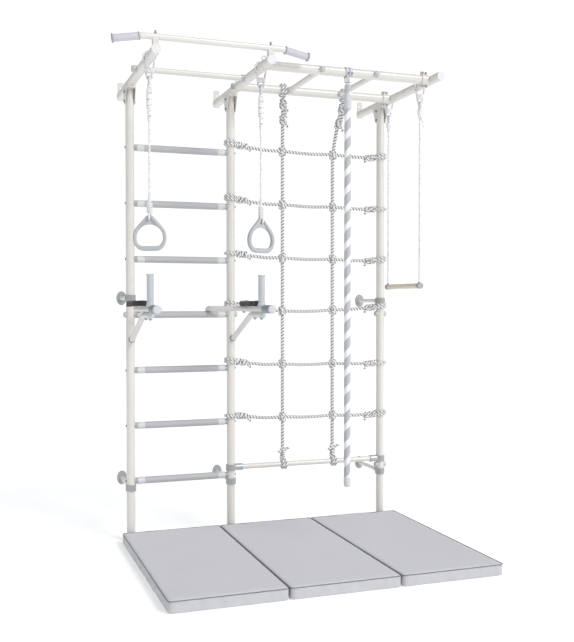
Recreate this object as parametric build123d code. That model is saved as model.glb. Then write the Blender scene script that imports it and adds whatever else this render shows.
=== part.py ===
from build123d import *
import math
import os

# Wall-mounted home gym: three posts, seven rungs, overhead bars, a rope net and hanging tackle.
# Millimetres. +X runs along the wall, +Y towards the wall, +Z up. The origin is on the floor,
# in the middle of the whole object.

# ---------------------------------------------------------------- driving dimensions
POST_R = 21.15            # 42.3 mm frame tube
POST_WALL = 2.5
RAIL_R = 13.4             # 26.8 mm light tube
RAIL_WALL = 2.0
FIT = 0.05                # clearance between a tube and what sits on it

LADDER_BAY = 515          # left post axis to middle post axis
NET_BAY = 845             # middle post axis to right post axis
WALL_GAP = 277            # post axis to wall
X_LEFT = -621
X_MID = X_LEFT + LADDER_BAY
X_RIGHT = X_MID + NET_BAY
POST_XS = (X_LEFT, X_MID, X_RIGHT)
Y_POST = 418
Y_WALL = Y_POST + WALL_GAP

JOINT_Z = 1088            # where lower and upper post tubes meet
SPIGOT_REACH = 110
ARM_Z = 2258              # centre of the overhead arms
ARM_FRONT_Y = Y_POST - 665
FRONT_BEAM_Y = Y_POST - 565
REAR_BEAM_Y = Y_POST - 134
TOP_BAR_Y = Y_POST - 305
OVERHEAD_RUNG_XS = (X_MID + 270, X_MID + 545)

RUNG_FIRST = 300
RUNG_PITCH = 275
RUNG_ZS = [RUNG_FIRST + RUNG_PITCH * i for i in range(7)]
RUNG_4 = RUNG_ZS[3]
SLEEVE_LENGTH = 12
COLLAR_LENGTH = 37
GRIP_R = 16.75
COLLAR_R = 17.5
BOLT_R = 3.2

PULL_X = (X_LEFT + X_MID) / 2
PULL_Y = Y_POST - 649
PULL_Z = ARM_Z + 54
PULL_HALF = 309           # centre to bend
PULL_END = (129.4, 13, -20)  # bend to tip: outwards, towards the wall, down
PULL_GRIP = 116

STAY_LOW_Z = 267
STAY_MID_ZS = {"left": 1208, "right": 1195}
STAY_PLATE = (26, 36.5)   # half width and half height of the oval wall plates
NET_BAR_Z = 337
NUT_RIGHT_Z = 302

NET_R = 7.5               # 15 mm net rope
NET_TOP_Z = 1976
NET_PITCH = 278
NET_ROWS = 6
COLUMN_XS = (X_MID + 282, X_MID + 564)
COLUMN_TOP_XS = (X_MID + 237, X_MID + 570)
COLUMN_BEND_Z = 2035
NET_KNOT_R = 13
NET_KNOT_OFFSET = 46      # post axis to the knot beside it
BOTTOM_KNOT_Z = 403
ROW_RISE = (16, -3, 0, -9, -2, -11, -7)      # how far a row lies above or below its level
ROW_4_RISE = (28, 9, -1, -5, 4, 6, 19)       # the fourth row passes over the nuts of rung 4

TACKLE_R = 5.0            # 10 mm tackle rope
EYE_Z = 2166              # lowest turn of a sling, where the rope hangs
RING_Y = Y_POST - 507
RING_ZS = {"left": 1492, "right": 1492}
RING_TURN = {"left": -19.5, "right": 19.0}
RING_THICK = 22
RING_HOLE = 57.5          # rope hole above the middle of a ring

TRAPEZE_YS = {"front": Y_POST - 453, "rear": REAR_BEAM_Y + 33}
TRAPEZE_Z = 1269
TRAPEZE_R = 13
TRAPEZE_CAP_R = 14.6

CLIMB_X = X_LEFT + 922
CLIMB_R = 15
CLIMB_PIVOT_Z = 2217
CLIMB_BOTTOM_Z = 318

DIP_Z = RUNG_4 + GRIP_R + RAIL_R + 0.3
DIP_FRONT_Y = Y_POST - 677
DIP_GRIP_BACK_Y = Y_POST - 563
HANDLE_Y = Y_POST - 516
DIP_HOOK_X = 115          # how far the hook sits to the side of the arm
BRACE_Z = DIP_Z - 2 * RAIL_R - 0.8
FOOT_Z = 1004
STRAP_SHIFT = 18          # the strap hangs out to the side away from the hook
STRAP_WIDE = 26

MAT_THICK = 54.7
MAT_HINGE_Z = 55.0
MAT_FRONT_Y = -695
MAT_BACK_Y = Y_POST - 32
MAT_X0, MAT_SEAM_1, MAT_SEAM_2, MAT_X1 = -672, -177, 319, 808

BASE = (Align.CENTER, Align.CENTER, Align.MIN)


# ---------------------------------------------------------------- helpers
def rod(start, end, radius, bore=0.0):
    """Round bar or tube between two points."""
    run = Vector(*end) - Vector(*start)
    bar = Cylinder(radius, run.length, align=BASE)
    if bore:
        bar -= Cylinder(bore, run.length, align=BASE)
    return Plane(origin=start, z_dir=run) * bar


def block(x, y, z):
    """Box from three (low, high) pairs."""
    low_high = (x, y, z)
    centre = [(a + b) / 2 for a, b in low_high]
    return Pos(*centre) * Box(*[b - a for a, b in low_high])


def hoop(centre, axis, major, minor):
    return Plane(origin=centre, z_dir=axis) * Torus(major, minor)


def ball(centre, radius):
    return Pos(*centre) * Sphere(radius)


def bent_tube(points, bends, radius, bore=0.0):
    """Tube along straight runs joined by tangent arcs."""
    path = FilletPolyline(*points, radius=bends)
    place = Plane(origin=path @ 0, z_dir=path % 0)
    tube = sweep(place * Circle(radius), path=path)
    if bore:
        tube -= sweep(place * Circle(bore), path=path)
    return tube


def cord_radii(points, diameter, name):
    """Arc radii as large as the runs beside each corner allow."""
    vectors = [Vector(*p) for p in points]
    radii = []
    for before, corner, after in zip(vectors, vectors[1:], vectors[2:]):
        run_in, run_out = corner - before, after - corner
        half_turn = math.radians(run_in.get_angle(run_out)) / 2
        radii.append(0.45 * min(run_in.length, run_out.length) / math.tan(half_turn))
    print(name, "arc radii mm", [round(r) for r in radii], "diameter", diameter)
    return radii


def cord(points, radius, name):
    """Plain round cord through its route points."""
    if len(points) == 2:
        return rod(points[0], points[1], radius)
    return bent_tube(points, cord_radii(points, 2 * radius, name), radius)


def dome(base, direction, radius, height, rounding):
    """Domed nut or knob standing on a base point."""
    knob = Cylinder(radius, height, align=BASE)
    knob = fillet(knob.edges().group_by(Axis.Z)[-1], rounding)
    return Plane(origin=base, z_dir=direction) * knob


def save(name, *shapes):
    solids = [solid for shape in shapes for solid in shape.solids()]
    whole = Compound(children=solids) if len(solids) > 1 else solids[0]
    export_step(whole, "parts/" + name + ".step")


# ---------------------------------------------------------------- frame
POST_TOP_Z = ARM_Z - POST_R - 3
FOOT_THICK = 4
CHEEK_BOLT_ZS = (2173, 2222)
CHEEK_BOLT_R = 4.0


def post_core(x, radius=POST_R):
    return rod((x, Y_POST, 0), (x, Y_POST, ARM_Z), radius)


def arm_core(x, radius=POST_R + FIT):
    return rod((x, ARM_FRONT_Y, ARM_Z), (x, Y_WALL, ARM_Z), radius)


def cross_hole(x, z, radius):
    return rod((x - 40, Y_POST, z), (x + 40, Y_POST, z), radius)


def post_bolt_zs(x):
    """Heights of the through bolts in one post."""
    return RUNG_ZS if x != X_RIGHT else [NUT_RIGHT_Z, RUNG_4]


def drilled(tube, x, low, high):
    """Tube with the post's bolt holes that fall inside it."""
    for z in post_bolt_zs(x):
        if low < z < high:
            tube -= cross_hole(x, z, BOLT_R + 0.1)
    return tube


def posts_and_feet():
    inner = POST_R - POST_WALL
    lower, upper, spigots, feet = [], [], [], []
    for x in POST_XS:
        low = rod((x, Y_POST, FOOT_THICK), (x, Y_POST, JOINT_Z - 0.2), POST_R, inner)
        lower.append(drilled(low, x, FOOT_THICK, JOINT_Z))
        top = rod((x, Y_POST, JOINT_Z + 0.2), (x, Y_POST, POST_TOP_Z), POST_R, inner)
        for z in CHEEK_BOLT_ZS:
            top -= cross_hole(x, z, CHEEK_BOLT_R + 0.1)
        upper.append(drilled(top, x, JOINT_Z, POST_TOP_Z))
        ends = (x, Y_POST, JOINT_Z - SPIGOT_REACH), (x, Y_POST, JOINT_Z + SPIGOT_REACH)
        sleeve = rod(*ends, inner - FIT, inner - 3)
        spigots.append(drilled(sleeve, x, JOINT_Z - SPIGOT_REACH, JOINT_Z + SPIGOT_REACH))
        pad = rod((x, Y_POST, 0), (x, Y_POST, FOOT_THICK), POST_R)
        feet.append(pad + rod((x, Y_POST, 0), (x, Y_POST, 30), inner - FIT))
    save("lower_posts", *lower)
    save("upper_posts", *upper)
    save("post_spigots", *spigots)
    save("post_feet", *feet)


def arms():
    plate_t, hole_z = 4, ARM_Z + 43
    tubes, caps, plates = [], [], []
    for x in POST_XS:
        tube = rod((x, ARM_FRONT_Y, ARM_Z), (x, Y_WALL - plate_t, ARM_Z), POST_R, POST_R - POST_WALL)
        tubes.append(tube)
        cap = rod((x, ARM_FRONT_Y - 3, ARM_Z), (x, ARM_FRONT_Y, ARM_Z), POST_R)
        plug = (x, ARM_FRONT_Y - 3, ARM_Z), (x, ARM_FRONT_Y + 20, ARM_Z)
        caps.append(cap + rod(*plug, POST_R - POST_WALL - FIT))
        plate = block((x - 16, x + 16), (Y_WALL - plate_t, Y_WALL), (ARM_Z - POST_R, ARM_Z + 71))
        plate = fillet(plate.edges().filter_by(Axis.Y), 6)
        plates.append(plate - rod((x, Y_WALL - 10, hole_z), (x, Y_WALL + 10, hole_z), 5))
    save("overhead_arms", *tubes)
    save("arm_end_caps", *caps)
    save("wall_plates", *plates)


def saddles():
    """Folded bracket under each arm, whose two cheeks hold the post top."""
    half_out, half_in = POST_R + 3.05, POST_R + FIT
    outline = Polyline(
        (-48, ARM_Z + 4), (48, ARM_Z + 4), (48, ARM_Z - 18), (15, 2160), (-15, 2160),
        (-48, ARM_Z - 18), close=True,
    )
    brackets = []
    for x in POST_XS:
        face = Plane(origin=(x - half_out, Y_POST, 0), x_dir=(0, 1, 0), z_dir=(1, 0, 0))
        body = extrude(face * make_face(outline), 2 * half_out)
        body -= block((x - half_in, x + half_in), (Y_POST - 60, Y_POST + 60), (2100, POST_TOP_Z))
        body -= rod((x, Y_POST - 60, ARM_Z), (x, Y_POST + 60, ARM_Z), POST_R + FIT)
        for z in CHEEK_BOLT_ZS:
            body -= cross_hole(x, z, CHEEK_BOLT_R + 0.1)
        brackets.append(body)
    save("arm_saddles", *brackets)


def hex_bolt(head, tip, radius, head_r, head_t, nut=True):
    """Bolt whose head lies outside `head` and whose nut lies outside `tip`."""
    start, end = Vector(*head), Vector(*tip)
    way = (end - start).normalized()
    base = Plane(origin=start - way * head_t, z_dir=way)
    body = base * extrude(RegularPolygon(head_r, 6), head_t)
    body += rod(start - way * head_t / 2, end + way * (head_t if nut else 0), radius)
    if nut:
        body += Plane(origin=end, z_dir=way) * extrude(RegularPolygon(head_r, 6), head_t - 1)
    return body


def frame_bolts():
    bolts = []
    side = POST_R + 3.05
    for x in POST_XS:
        for z in CHEEK_BOLT_ZS:
            bolts.append(hex_bolt((x - side, Y_POST, z), (x + side, Y_POST, z), CHEEK_BOLT_R, 7, 5))
    for z in RUNG_ZS:
        nut_side = z != RUNG_4
        for x, way in ((X_LEFT, 1), (X_MID, -1)):
            outer = x - way * POST_R
            inner = x + way * (POST_R + 40)
            if nut_side:
                bolts.append(hex_bolt((outer, Y_POST, z), (inner, Y_POST, z), BOLT_R, 6, 4, nut=False))
            else:
                bolts.append(rod((outer - way * 6, Y_POST, z), (inner, Y_POST, z), BOLT_R))
    for z in (NUT_RIGHT_Z, RUNG_4):
        bolts.append(rod((X_RIGHT - 27, Y_POST, z), (X_RIGHT + 27, Y_POST, z), BOLT_R))
    for y in (FRONT_BEAM_Y, REAR_BEAM_Y):
        for dx in (-9, 9):
            for dz in (-CLAMP_BOLT_OFF, CLAMP_BOLT_OFF):
                spot = (CLAMP_X + dx, y, ARM_Z + dz)
                front = (spot[0], y - CLAMP_EAR, spot[2])
                back = (spot[0], y + CLAMP_EAR, spot[2])
                bolts.append(hex_bolt(front, back, 2.5, 4.8, 4))
    for x in (X_LEFT, X_MID):
        top = PULL_Z + RAIL_R
        bolts.append(hex_bolt((x, PULL_Y, top), (x, PULL_Y, PULL_Z - RAIL_R - 2), 3, 6, 5, nut=False))
        bolts.append(dome((x, PULL_Y, top + 5.2), (0, 0, 1), 4, 10, 3))
    save("frame_bolts", *bolts)


# ---------------------------------------------------------------- overhead grid
CLAMP_EAR = 6
CLAMP_WIDTH = 32
CLAMP_R = 26              # outside of the clamp's shells
CLAMP_BOLT_OFF = 32       # beam axis to clamp bolt
CLAMP_X = X_RIGHT - POST_R - 3 - CLAMP_WIDTH / 2


def beam_core(y, radius=POST_R + FIT):
    return rod((X_MID, y, ARM_Z), (X_RIGHT, y, ARM_Z), radius)


def beams():
    for name, y in (("front_beam", FRONT_BEAM_Y), ("rear_beam", REAR_BEAM_Y)):
        tube = rod((X_MID, y, ARM_Z), (X_RIGHT, y, ARM_Z), POST_R, POST_R - POST_WALL)
        tube -= arm_core(X_MID) + arm_core(X_RIGHT)
        save(name, tube)
    rungs = []
    for x in OVERHEAD_RUNG_XS:
        rung = rod((x, FRONT_BEAM_Y, ARM_Z), (x, REAR_BEAM_Y, ARM_Z), RAIL_R, RAIL_R - RAIL_WALL)
        rungs.append(rung - beam_core(FRONT_BEAM_Y) - beam_core(REAR_BEAM_Y))
    save("overhead_rungs", *rungs)
    bar = rod((X_LEFT, TOP_BAR_Y, ARM_Z), (X_MID, TOP_BAR_Y, ARM_Z), RAIL_R, RAIL_R - RAIL_WALL)
    save("ladder_top_bar", bar - arm_core(X_LEFT) - arm_core(X_MID))


def beam_clamp(y):
    """Two half shells with ears above and below, round the end of a beam."""
    width, ear = CLAMP_WIDTH, CLAMP_EAR
    shell = Cylinder(CLAMP_R, width) + Box(2 * CLAMP_BOLT_OFF + 12, 2 * ear, width)
    shell -= Cylinder(POST_R + FIT, width)
    shell -= Box(80, 1.5, width)
    for dx in (-CLAMP_BOLT_OFF, CLAMP_BOLT_OFF):
        for dz in (-9, 9):
            shell -= Pos(dx, 0, dz) * Rot(90, 0, 0) * Cylinder(2.6, 40)
    return Plane(origin=(CLAMP_X, y, ARM_Z), x_dir=(0, 0, 1), z_dir=(1, 0, 0)) * shell


def arm_band(y):
    """Band round the middle arm with an eye on top, which ties a beam end."""
    x = X_MID
    band = rod((x, y - 15, ARM_Z), (x, y + 15, ARM_Z), POST_R + 2.6, POST_R + FIT)
    lug = rod((x - 4, y - 5, ARM_Z + POST_R + 9), (x - 4, y + 1, ARM_Z + POST_R + 9), 12, 7)
    lug -= rod((x, y - 15, ARM_Z), (x, y + 15, ARM_Z), POST_R + 1)
    return band + lug - beam_core(y)


def post_ring(x, z, height=30):
    return rod((x, Y_POST, z - height / 2), (x, Y_POST, z + height / 2), POST_R + 5, POST_R + FIT)


def net_bar_clamp(x, way):
    """Collar round a post with a socket for the net bar."""
    z = NET_BAR_Z
    socket = rod((x, Y_POST, z), (x + way * (POST_R + 40), Y_POST, z), 17.5)
    socket -= post_core(x, POST_R + FIT)
    tip = rod((x, Y_POST, z), (x + way * (POST_R + 41), Y_POST, z), RAIL_R + FIT)
    return post_ring(x, z) + socket - tip


def stay_clamp(x, z):
    """Collar round a post with a socket towards the wall."""
    socket = rod((x, Y_POST, z), (x, Y_POST + POST_R + 22, z), 15.5)
    socket -= post_core(x, POST_R + FIT)
    tip = rod((x, Y_POST, z), (x, Y_POST + POST_R + 23, z), 11 + FIT)
    return post_ring(x, z) + socket - tip


STAYS = [(x, STAY_LOW_Z) for x in POST_XS]
STAYS += [(X_LEFT, STAY_MID_ZS["left"]), (X_RIGHT, STAY_MID_ZS["right"])]


def clamps_and_stays():
    clamps = [beam_clamp(FRONT_BEAM_Y), beam_clamp(REAR_BEAM_Y)]
    clamps += [arm_band(FRONT_BEAM_Y), arm_band(REAR_BEAM_Y)]
    clamps += [net_bar_clamp(X_MID, 1), net_bar_clamp(X_RIGHT, -1)]
    clamps += [stay_clamp(x, z) for x, z in STAYS]
    save("tube_clamps", *clamps)
    stays = []
    for x, z in STAYS:
        stub = rod((x, Y_POST + POST_R + 1, z), (x, Y_WALL, z), 11)
        wall_side = Plane(origin=(x, Y_WALL - 7, z), x_dir=(1, 0, 0), z_dir=(0, 1, 0))
        plate = wall_side * extrude(Ellipse(*STAY_PLATE), 7)
        stays.append(stub + fillet(plate.edges().group_by(Axis.Y)[0], 3))
    save("wall_stays", *stays)
    start, end = X_MID + POST_R + 1, X_RIGHT - POST_R - 1
    bar = rod((start, Y_POST, NET_BAR_Z), (end, Y_POST, NET_BAR_Z), RAIL_R, RAIL_R - RAIL_WALL)
    save("net_bar", bar)


def end_knobs():
    """Domed nuts on posts and beams, and the collars where light tubes meet heavy ones."""
    knobs = []
    side = POST_R - 5
    spots = [(X_LEFT, RUNG_4, -1), (X_MID, RUNG_4, 1)]
    spots += [(X_RIGHT, z, way) for z in (NUT_RIGHT_Z, RUNG_4) for way in (-1, 1)]
    for x, z, way in spots:
        nut = dome((x + way * side, Y_POST, z), (way, 0, 0), 14.5, 18, 9)
        knobs.append(nut - post_core(x, POST_R + FIT) - cross_hole(x, z, BOLT_R + 0.1))
    for x in OVERHEAD_RUNG_XS:
        nut = dome((x, FRONT_BEAM_Y - side, ARM_Z), (0, -1, 0), 14.5, 20, 10)
        knobs.append(nut - beam_core(FRONT_BEAM_Y))
        collar = rod((x, REAR_BEAM_Y - POST_R - 12, ARM_Z), (x, REAR_BEAM_Y, ARM_Z), 15.5, RAIL_R + FIT)
        knobs.append(collar - beam_core(REAR_BEAM_Y))
    nut = dome((X_LEFT - side, TOP_BAR_Y, ARM_Z), (-1, 0, 0), 16, 27, 6)
    knobs.append(nut - arm_core(X_LEFT))
    ends = (X_MID - POST_R - 12, TOP_BAR_Y, ARM_Z), (X_MID, TOP_BAR_Y, ARM_Z)
    knobs.append(rod(*ends, 17, RAIL_R + FIT) - arm_core(X_MID))
    save("end_knobs", *knobs)


# ---------------------------------------------------------------- ladder
def rungs():
    tubes, grips, collars, sleeves = [], [], [], []
    start, end = X_LEFT + POST_R, X_MID - POST_R
    bore = RAIL_R + FIT
    for z in RUNG_ZS:
        def piece(x0, x1, radius, inner):
            return rod((x0, Y_POST, z), (x1, Y_POST, z), radius, inner)

        tubes.append(
            piece(X_LEFT, X_MID, RAIL_R, RAIL_R - RAIL_WALL)
            - post_core(X_LEFT, POST_R + FIT) - post_core(X_MID, POST_R + FIT)
        )
        a, b = start + SLEEVE_LENGTH, end - SLEEVE_LENGTH
        sleeves.append(piece(X_LEFT, a, 15.2, bore) - post_core(X_LEFT, POST_R + FIT))
        sleeves.append(piece(b, X_MID, 15.2, bore) - post_core(X_MID, POST_R + FIT))
        collars.append(piece(a, a + COLLAR_LENGTH, COLLAR_R, bore))
        collars.append(piece(b - COLLAR_LENGTH, b, COLLAR_R, bore))
        grips.append(piece(a + COLLAR_LENGTH, b - COLLAR_LENGTH, GRIP_R, bore))
    save("rung_tubes", *tubes)
    save("rung_grips", *grips)
    save("rung_collars", *collars)
    save("rung_sleeves", *sleeves)


# ---------------------------------------------------------------- pull-up bar
def pull_up_bar():
    out, back, down = PULL_END
    tips, bends = [], []
    for way in (-1, 1):
        bends.append((PULL_X + way * PULL_HALF, PULL_Y, PULL_Z))
        tips.append((PULL_X + way * (PULL_HALF + out), PULL_Y + back, PULL_Z + down))
    bar = bent_tube([tips[0], bends[0], bends[1], tips[1]], 120, RAIL_R, RAIL_R - RAIL_WALL)
    for x in (X_LEFT, X_MID):
        bar -= rod((x, PULL_Y, PULL_Z - 30), (x, PULL_Y, PULL_Z + 30), 3.1)
    save("pull_up_bar", bar)
    grips = []
    for tip, bend in zip(tips, bends):
        way = (Vector(*bend) - Vector(*tip)).normalized()
        tip = Vector(*tip)
        grip = rod(tip - way * 2.5, tip + way * PULL_GRIP, 16)
        grip += rod(tip - way * 2.5, tip + way * 4, 20.5)
        grip += rod(tip + way * (PULL_GRIP - 5), tip + way * PULL_GRIP, 18)
        grips.append(grip - rod(tip, tip + way * (PULL_GRIP + 5), RAIL_R + FIT))
    save("pull_up_grips", *grips)
    saddles_up = []
    for x in (X_LEFT, X_MID):
        seat = block((x - 13, x + 13), (PULL_Y - 13, PULL_Y + 15), (ARM_Z, PULL_Z - 5))
        seat -= arm_core(x)
        seat -= rod((x - 60, PULL_Y, PULL_Z), (x + 60, PULL_Y, PULL_Z), RAIL_R + FIT)
        seat -= rod((x, PULL_Y, ARM_Z), (x, PULL_Y, PULL_Z), 3.1)
        saddles_up.append(seat)
    save("pull_up_saddles", *saddles_up)


# ---------------------------------------------------------------- rope net
def row_route(row):
    """One row of the net, which sags a little between its knots."""
    z = NET_TOP_Z - NET_PITCH * row
    x0, x3 = X_MID + NET_KNOT_OFFSET, X_RIGHT - NET_KNOT_OFFSET
    x1, x2 = COLUMN_XS
    xs = (x0, (x0 + x1) / 2, x1, (x1 + x2) / 2, x2, (x2 + x3) / 2, x3)
    rise = ROW_4_RISE if row == 3 else ROW_RISE
    return [(x, Y_POST, z + dz) for x, dz in zip(xs, rise)]


def column_route(top_x, x):
    return [
        (top_x, REAR_BEAM_Y, ARM_Z - POST_R - 9),
        (x, Y_POST, COLUMN_BEND_Z),
        (x, Y_POST, NET_BAR_Z + RAIL_R + 7),
    ]


def net():
    knots = []
    for row in range(NET_ROWS):
        route = row_route(row)
        save("net_row_" + str(row + 1), cord(route, NET_R, "net_row_" + str(row + 1)))
        for post_x, end in ((X_MID, route[0]), (X_RIGHT, route[-1])):
            turn = hoop((post_x, Y_POST, end[2]), (0, 0, 1), POST_R + NET_R + 0.3, NET_R)
            knots.append(turn + ball(end, NET_KNOT_R))
        knots += [ball(route[2], NET_KNOT_R), ball(route[4], NET_KNOT_R)]
    for name, top_x, x in zip(("left", "right"), COLUMN_TOP_XS, COLUMN_XS):
        route = column_route(top_x, x)
        save("net_column_" + name, cord(route, NET_R, "net_column_" + name))
        turn = hoop((top_x, REAR_BEAM_Y, ARM_Z), (1, 0, 0), POST_R + NET_R + 0.3, NET_R)
        top_knot = Vector(*route[0]) + (Vector(*route[1]) - Vector(*route[0])) * 0.07
        knots.append(turn + ball(top_knot, NET_KNOT_R))
        knots.append(hoop((x, Y_POST, NET_BAR_Z), (1, 0, 0), RAIL_R + NET_R + 0.3, NET_R))
        knots.append(ball((x, Y_POST, BOTTOM_KNOT_Z), NET_KNOT_R))
    save("net_knots", *knots)


# ---------------------------------------------------------------- hanging tackle
SLING_TOP = POST_R + TACKLE_R + 1.0     # the straight sides lean in, and still clear the arm
SLING_FOOT = 11.0
SLING_BEND_R = TACKLE_R + 0.4           # the rope is a little fuller where it turns


def arm_sling(x, y):
    """Rope loop round an arm, narrowing to a small turn at its foot."""
    foot_z = EYE_Z + SLING_FOOT
    top = hoop((x, y, ARM_Z), (0, 1, 0), SLING_TOP, TACKLE_R)
    top &= block((x - 60, x + 60), (y - 20, y + 20), (ARM_Z, ARM_Z + 60))
    foot = hoop((x, y, foot_z), (0, 1, 0), SLING_FOOT, TACKLE_R)
    foot &= block((x - 60, x + 60), (y - 20, y + 20), (foot_z - 60, foot_z))
    loop = top + foot
    for way in (-1, 1):
        high = (x + way * SLING_TOP, y, ARM_Z)
        low = (x + way * SLING_FOOT, y, foot_z)
        loop += rod(high, low, TACKLE_R) + ball(high, SLING_BEND_R) + ball(low, SLING_BEND_R)
    return loop


def eye_and_sleeve(x, y, sleeve_end):
    """Spliced eye linked through a sling, with the thick sleeve of the splice below it."""
    eye = hoop((x, y, EYE_Z - 1.7), (1, 0, 0), 12, TACKLE_R)
    sleeve = rod((x, y, EYE_Z - 14), (x, y, sleeve_end), 11)
    inside = rod((x, y, EYE_Z - 22), (x, y, sleeve_end - 1), TACKLE_R + FIT)
    return eye + sleeve - inside


def ring_body(x, z, turn):
    """Hand ring like a stirrup: pointed crown, wide flat foot, and a thinner web under the crown."""
    low, crown, foot, opening, floor = -20.5, 55, -79.5, -21.5, -57.5
    outline = make_hull((Pos(0, low) * Circle(74)).edges() + (Pos(0, crown) * Circle(24)).edges())
    outline &= Pos(0, foot + 100) * Rectangle(200, 200)
    outline = fillet(outline.vertices().group_by(Axis.Y)[0], 48)
    inside = Pos(0, opening) * Circle(58.5) & Pos(0, floor + 100) * Rectangle(200, 200)
    inside = fillet(inside.vertices().group_by(Axis.Y)[0], 29)
    body = extrude(outline, RING_THICK / 2, both=True) - extrude(inside, RING_THICK, both=True)
    body = fillet(body.edges(), 7)
    web_crown_r = 12  # the recess reaches high enough to clear the rope loop in the hole
    web = make_hull((Pos(0, low) * Circle(58.9)).edges() + (Pos(0, crown) * Circle(web_crown_r)).edges())
    web &= Pos(0, 18 + 50) * Rectangle(200, 100)
    for way in (-1, 1):
        body -= Pos(0, 0, way * RING_THICK / 2) * extrude(web, 5, both=True)
    body -= Pos(0, RING_HOLE) * Cylinder(6, RING_THICK + 2)
    upright = Plane(origin=(x, RING_Y, z), x_dir=(1, 0, 0), z_dir=(0, -1, 0))
    spin = Pos(x, RING_Y, z) * Rot(0, 0, turn) * Pos(-x, -RING_Y, -z)
    return spin * (upright * body)


def rings():
    for side, x in (("left", X_LEFT), ("right", X_MID)):
        z, turn = RING_ZS[side], RING_TURN[side]
        hole_z = z + RING_HOLE
        whip_low, whip_high = hole_z + 32, hole_z + 116
        rope_low = whip_low + 8
        name = side + "_ring"
        save(name + "_sling", arm_sling(x, RING_Y))
        save(name + "_rope", rod((x, RING_Y, EYE_Z - 24), (x, RING_Y, rope_low), TACKLE_R))
        axis = Vector(math.cos(math.radians(turn)), math.sin(math.radians(turn)), 0)
        loop = hoop((x, RING_Y, hole_z + 22), axis, 22, 4.5)
        whip = rod((x, RING_Y, whip_low), (x, RING_Y, whip_high), 8.5)
        whip += loop
        whip -= rod((x, RING_Y, rope_low), (x, RING_Y, whip_high + 1), TACKLE_R + FIT)
        save(name + "_splices", eye_and_sleeve(x, RING_Y, EYE_Z - 194), whip)
        save(name, ring_body(x, z, turn))


def trapeze():
    splices, caps = [], []
    x, z = X_RIGHT, TRAPEZE_Z
    bar = rod((x, TRAPEZE_YS["front"] - 10, z), (x, TRAPEZE_YS["rear"] + 10, z), TRAPEZE_R)
    for name, y, way in (("front", TRAPEZE_YS["front"], -1), ("rear", TRAPEZE_YS["rear"], 1)):
        splices.append(arm_sling(x, y) + eye_and_sleeve(x, y, EYE_Z - 72))
        save("trapeze_rope_" + name, rod((x, y, EYE_Z - 24), (x, y, z - 5), TACKLE_R))
        hole = rod((x, y, z - 6), (x, y, z + 30), TACKLE_R + 0.1)
        cap = rod((x, y - way * 13, z), (x, y + way * 14, z), TRAPEZE_CAP_R)
        cap -= rod((x, y - way * 14, z), (x, y + way * 10.1, z), TRAPEZE_R + FIT)
        caps.append(cap - hole)
        bar -= hole
    save("trapeze_splices", *splices)
    save("trapeze_bar", bar)
    save("trapeze_bar_caps", *caps)


def climbing_rope():
    x, y = CLIMB_X, FRONT_BEAM_Y
    face = Plane(origin=(x - 22, y, 0), x_dir=(0, 1, 0), z_dir=(1, 0, 0))

    def lace(grow):
        over = Pos(0, ARM_Z) * Circle(POST_R + 0.4 + grow)
        under = Pos(0, CLIMB_PIVOT_Z + 12) * Circle(12 + grow)
        return make_hull(over.edges() + under.edges())

    band = extrude(face * (lace(3) - lace(0)), 44)
    save("climbing_rope_hanger", band)
    low = CLIMB_BOTTOM_Z
    top = CLIMB_PIVOT_Z - 12
    save("climbing_rope", rod((x, y, top - 8), (x, y, low + 12), CLIMB_R))
    sleeve = rod((x, y, top), (x, y, 2088), 17.5)
    sleeve -= rod((x, y, top - 8), (x, y, 2087), CLIMB_R + FIT)
    cap = rod((x, y, low), (x, y, low + 47), 16.5)
    cap = fillet(cap.edges().group_by(Axis.Z)[0], 5)
    cap -= rod((x, y, low + 12), (x, y, low + 48), CLIMB_R + FIT)
    save("climbing_rope_ends", sleeve, cap)


# ---------------------------------------------------------------- dip arms
def dip_unit(side, x, way):
    """Arm that hooks over the fourth rung, with its brace, grips and forearm strap."""
    z = DIP_Z
    hook_x = x + way * DIP_HOOK_X
    hook_y = Y_POST + GRIP_R + RAIL_R + 0.4
    arm_points = [
        (x, DIP_FRONT_Y + 3, z), (x, Y_POST - 125, z), (hook_x, Y_POST - 38, z),
        (hook_x, hook_y, z), (hook_x, hook_y, z - 46),
    ]
    arm = bent_tube(arm_points, [70, 60, 30.45], RAIL_R, RAIL_R - RAIL_WALL)
    save(side + "_dip_arm", arm)
    brace_points = [
        (x, HANDLE_Y - 24, BRACE_Z), (x, Y_POST - 355, BRACE_Z),
        (x, Y_POST - 50, FOOT_Z), (x, Y_POST - 34, FOOT_Z),
    ]
    brace = bent_tube(brace_points, 70, RAIL_R)
    shoe = rod((x, Y_POST - 38, FOOT_Z), (x, Y_POST - 15, FOOT_Z), 15)
    brace = brace + shoe - post_core(x, POST_R + 0.4)
    save(side + "_dip_brace", brace)
    sleeve = rod((x, DIP_FRONT_Y, z), (x, DIP_GRIP_BACK_Y, z), 19)
    sleeve = fillet(sleeve.edges().group_by(Axis.Y)[0], 3)
    sleeve -= rod((x, DIP_FRONT_Y + 3, z), (x, DIP_GRIP_BACK_Y + 1, z), RAIL_R + FIT)
    grip = rod((x, HANDLE_Y, z), (x, HANDLE_Y, 1312), 15.2)
    grip += rod((x, HANDLE_Y, 1178), (x, HANDLE_Y, 1183), 17.5)
    grip += rod((x, HANDLE_Y, 1304), (x, HANDLE_Y, 1312), 18)
    grip -= rod((x, HANDLE_Y - 40, z), (x, HANDLE_Y + 40, z), RAIL_R + FIT)
    save(side + "_dip_grips", sleeve, grip)
    strap_y = (Y_POST - 190 + HANDLE_Y + 76) / 2
    strap = Pos(x - way * STRAP_SHIFT, strap_y) * (Ellipse(48, 125) - Ellipse(45, 122))
    save(side + "_dip_strap", Pos(0, 0, z + RAIL_R + 0.3) * extrude(strap, STRAP_WIDE))


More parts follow.
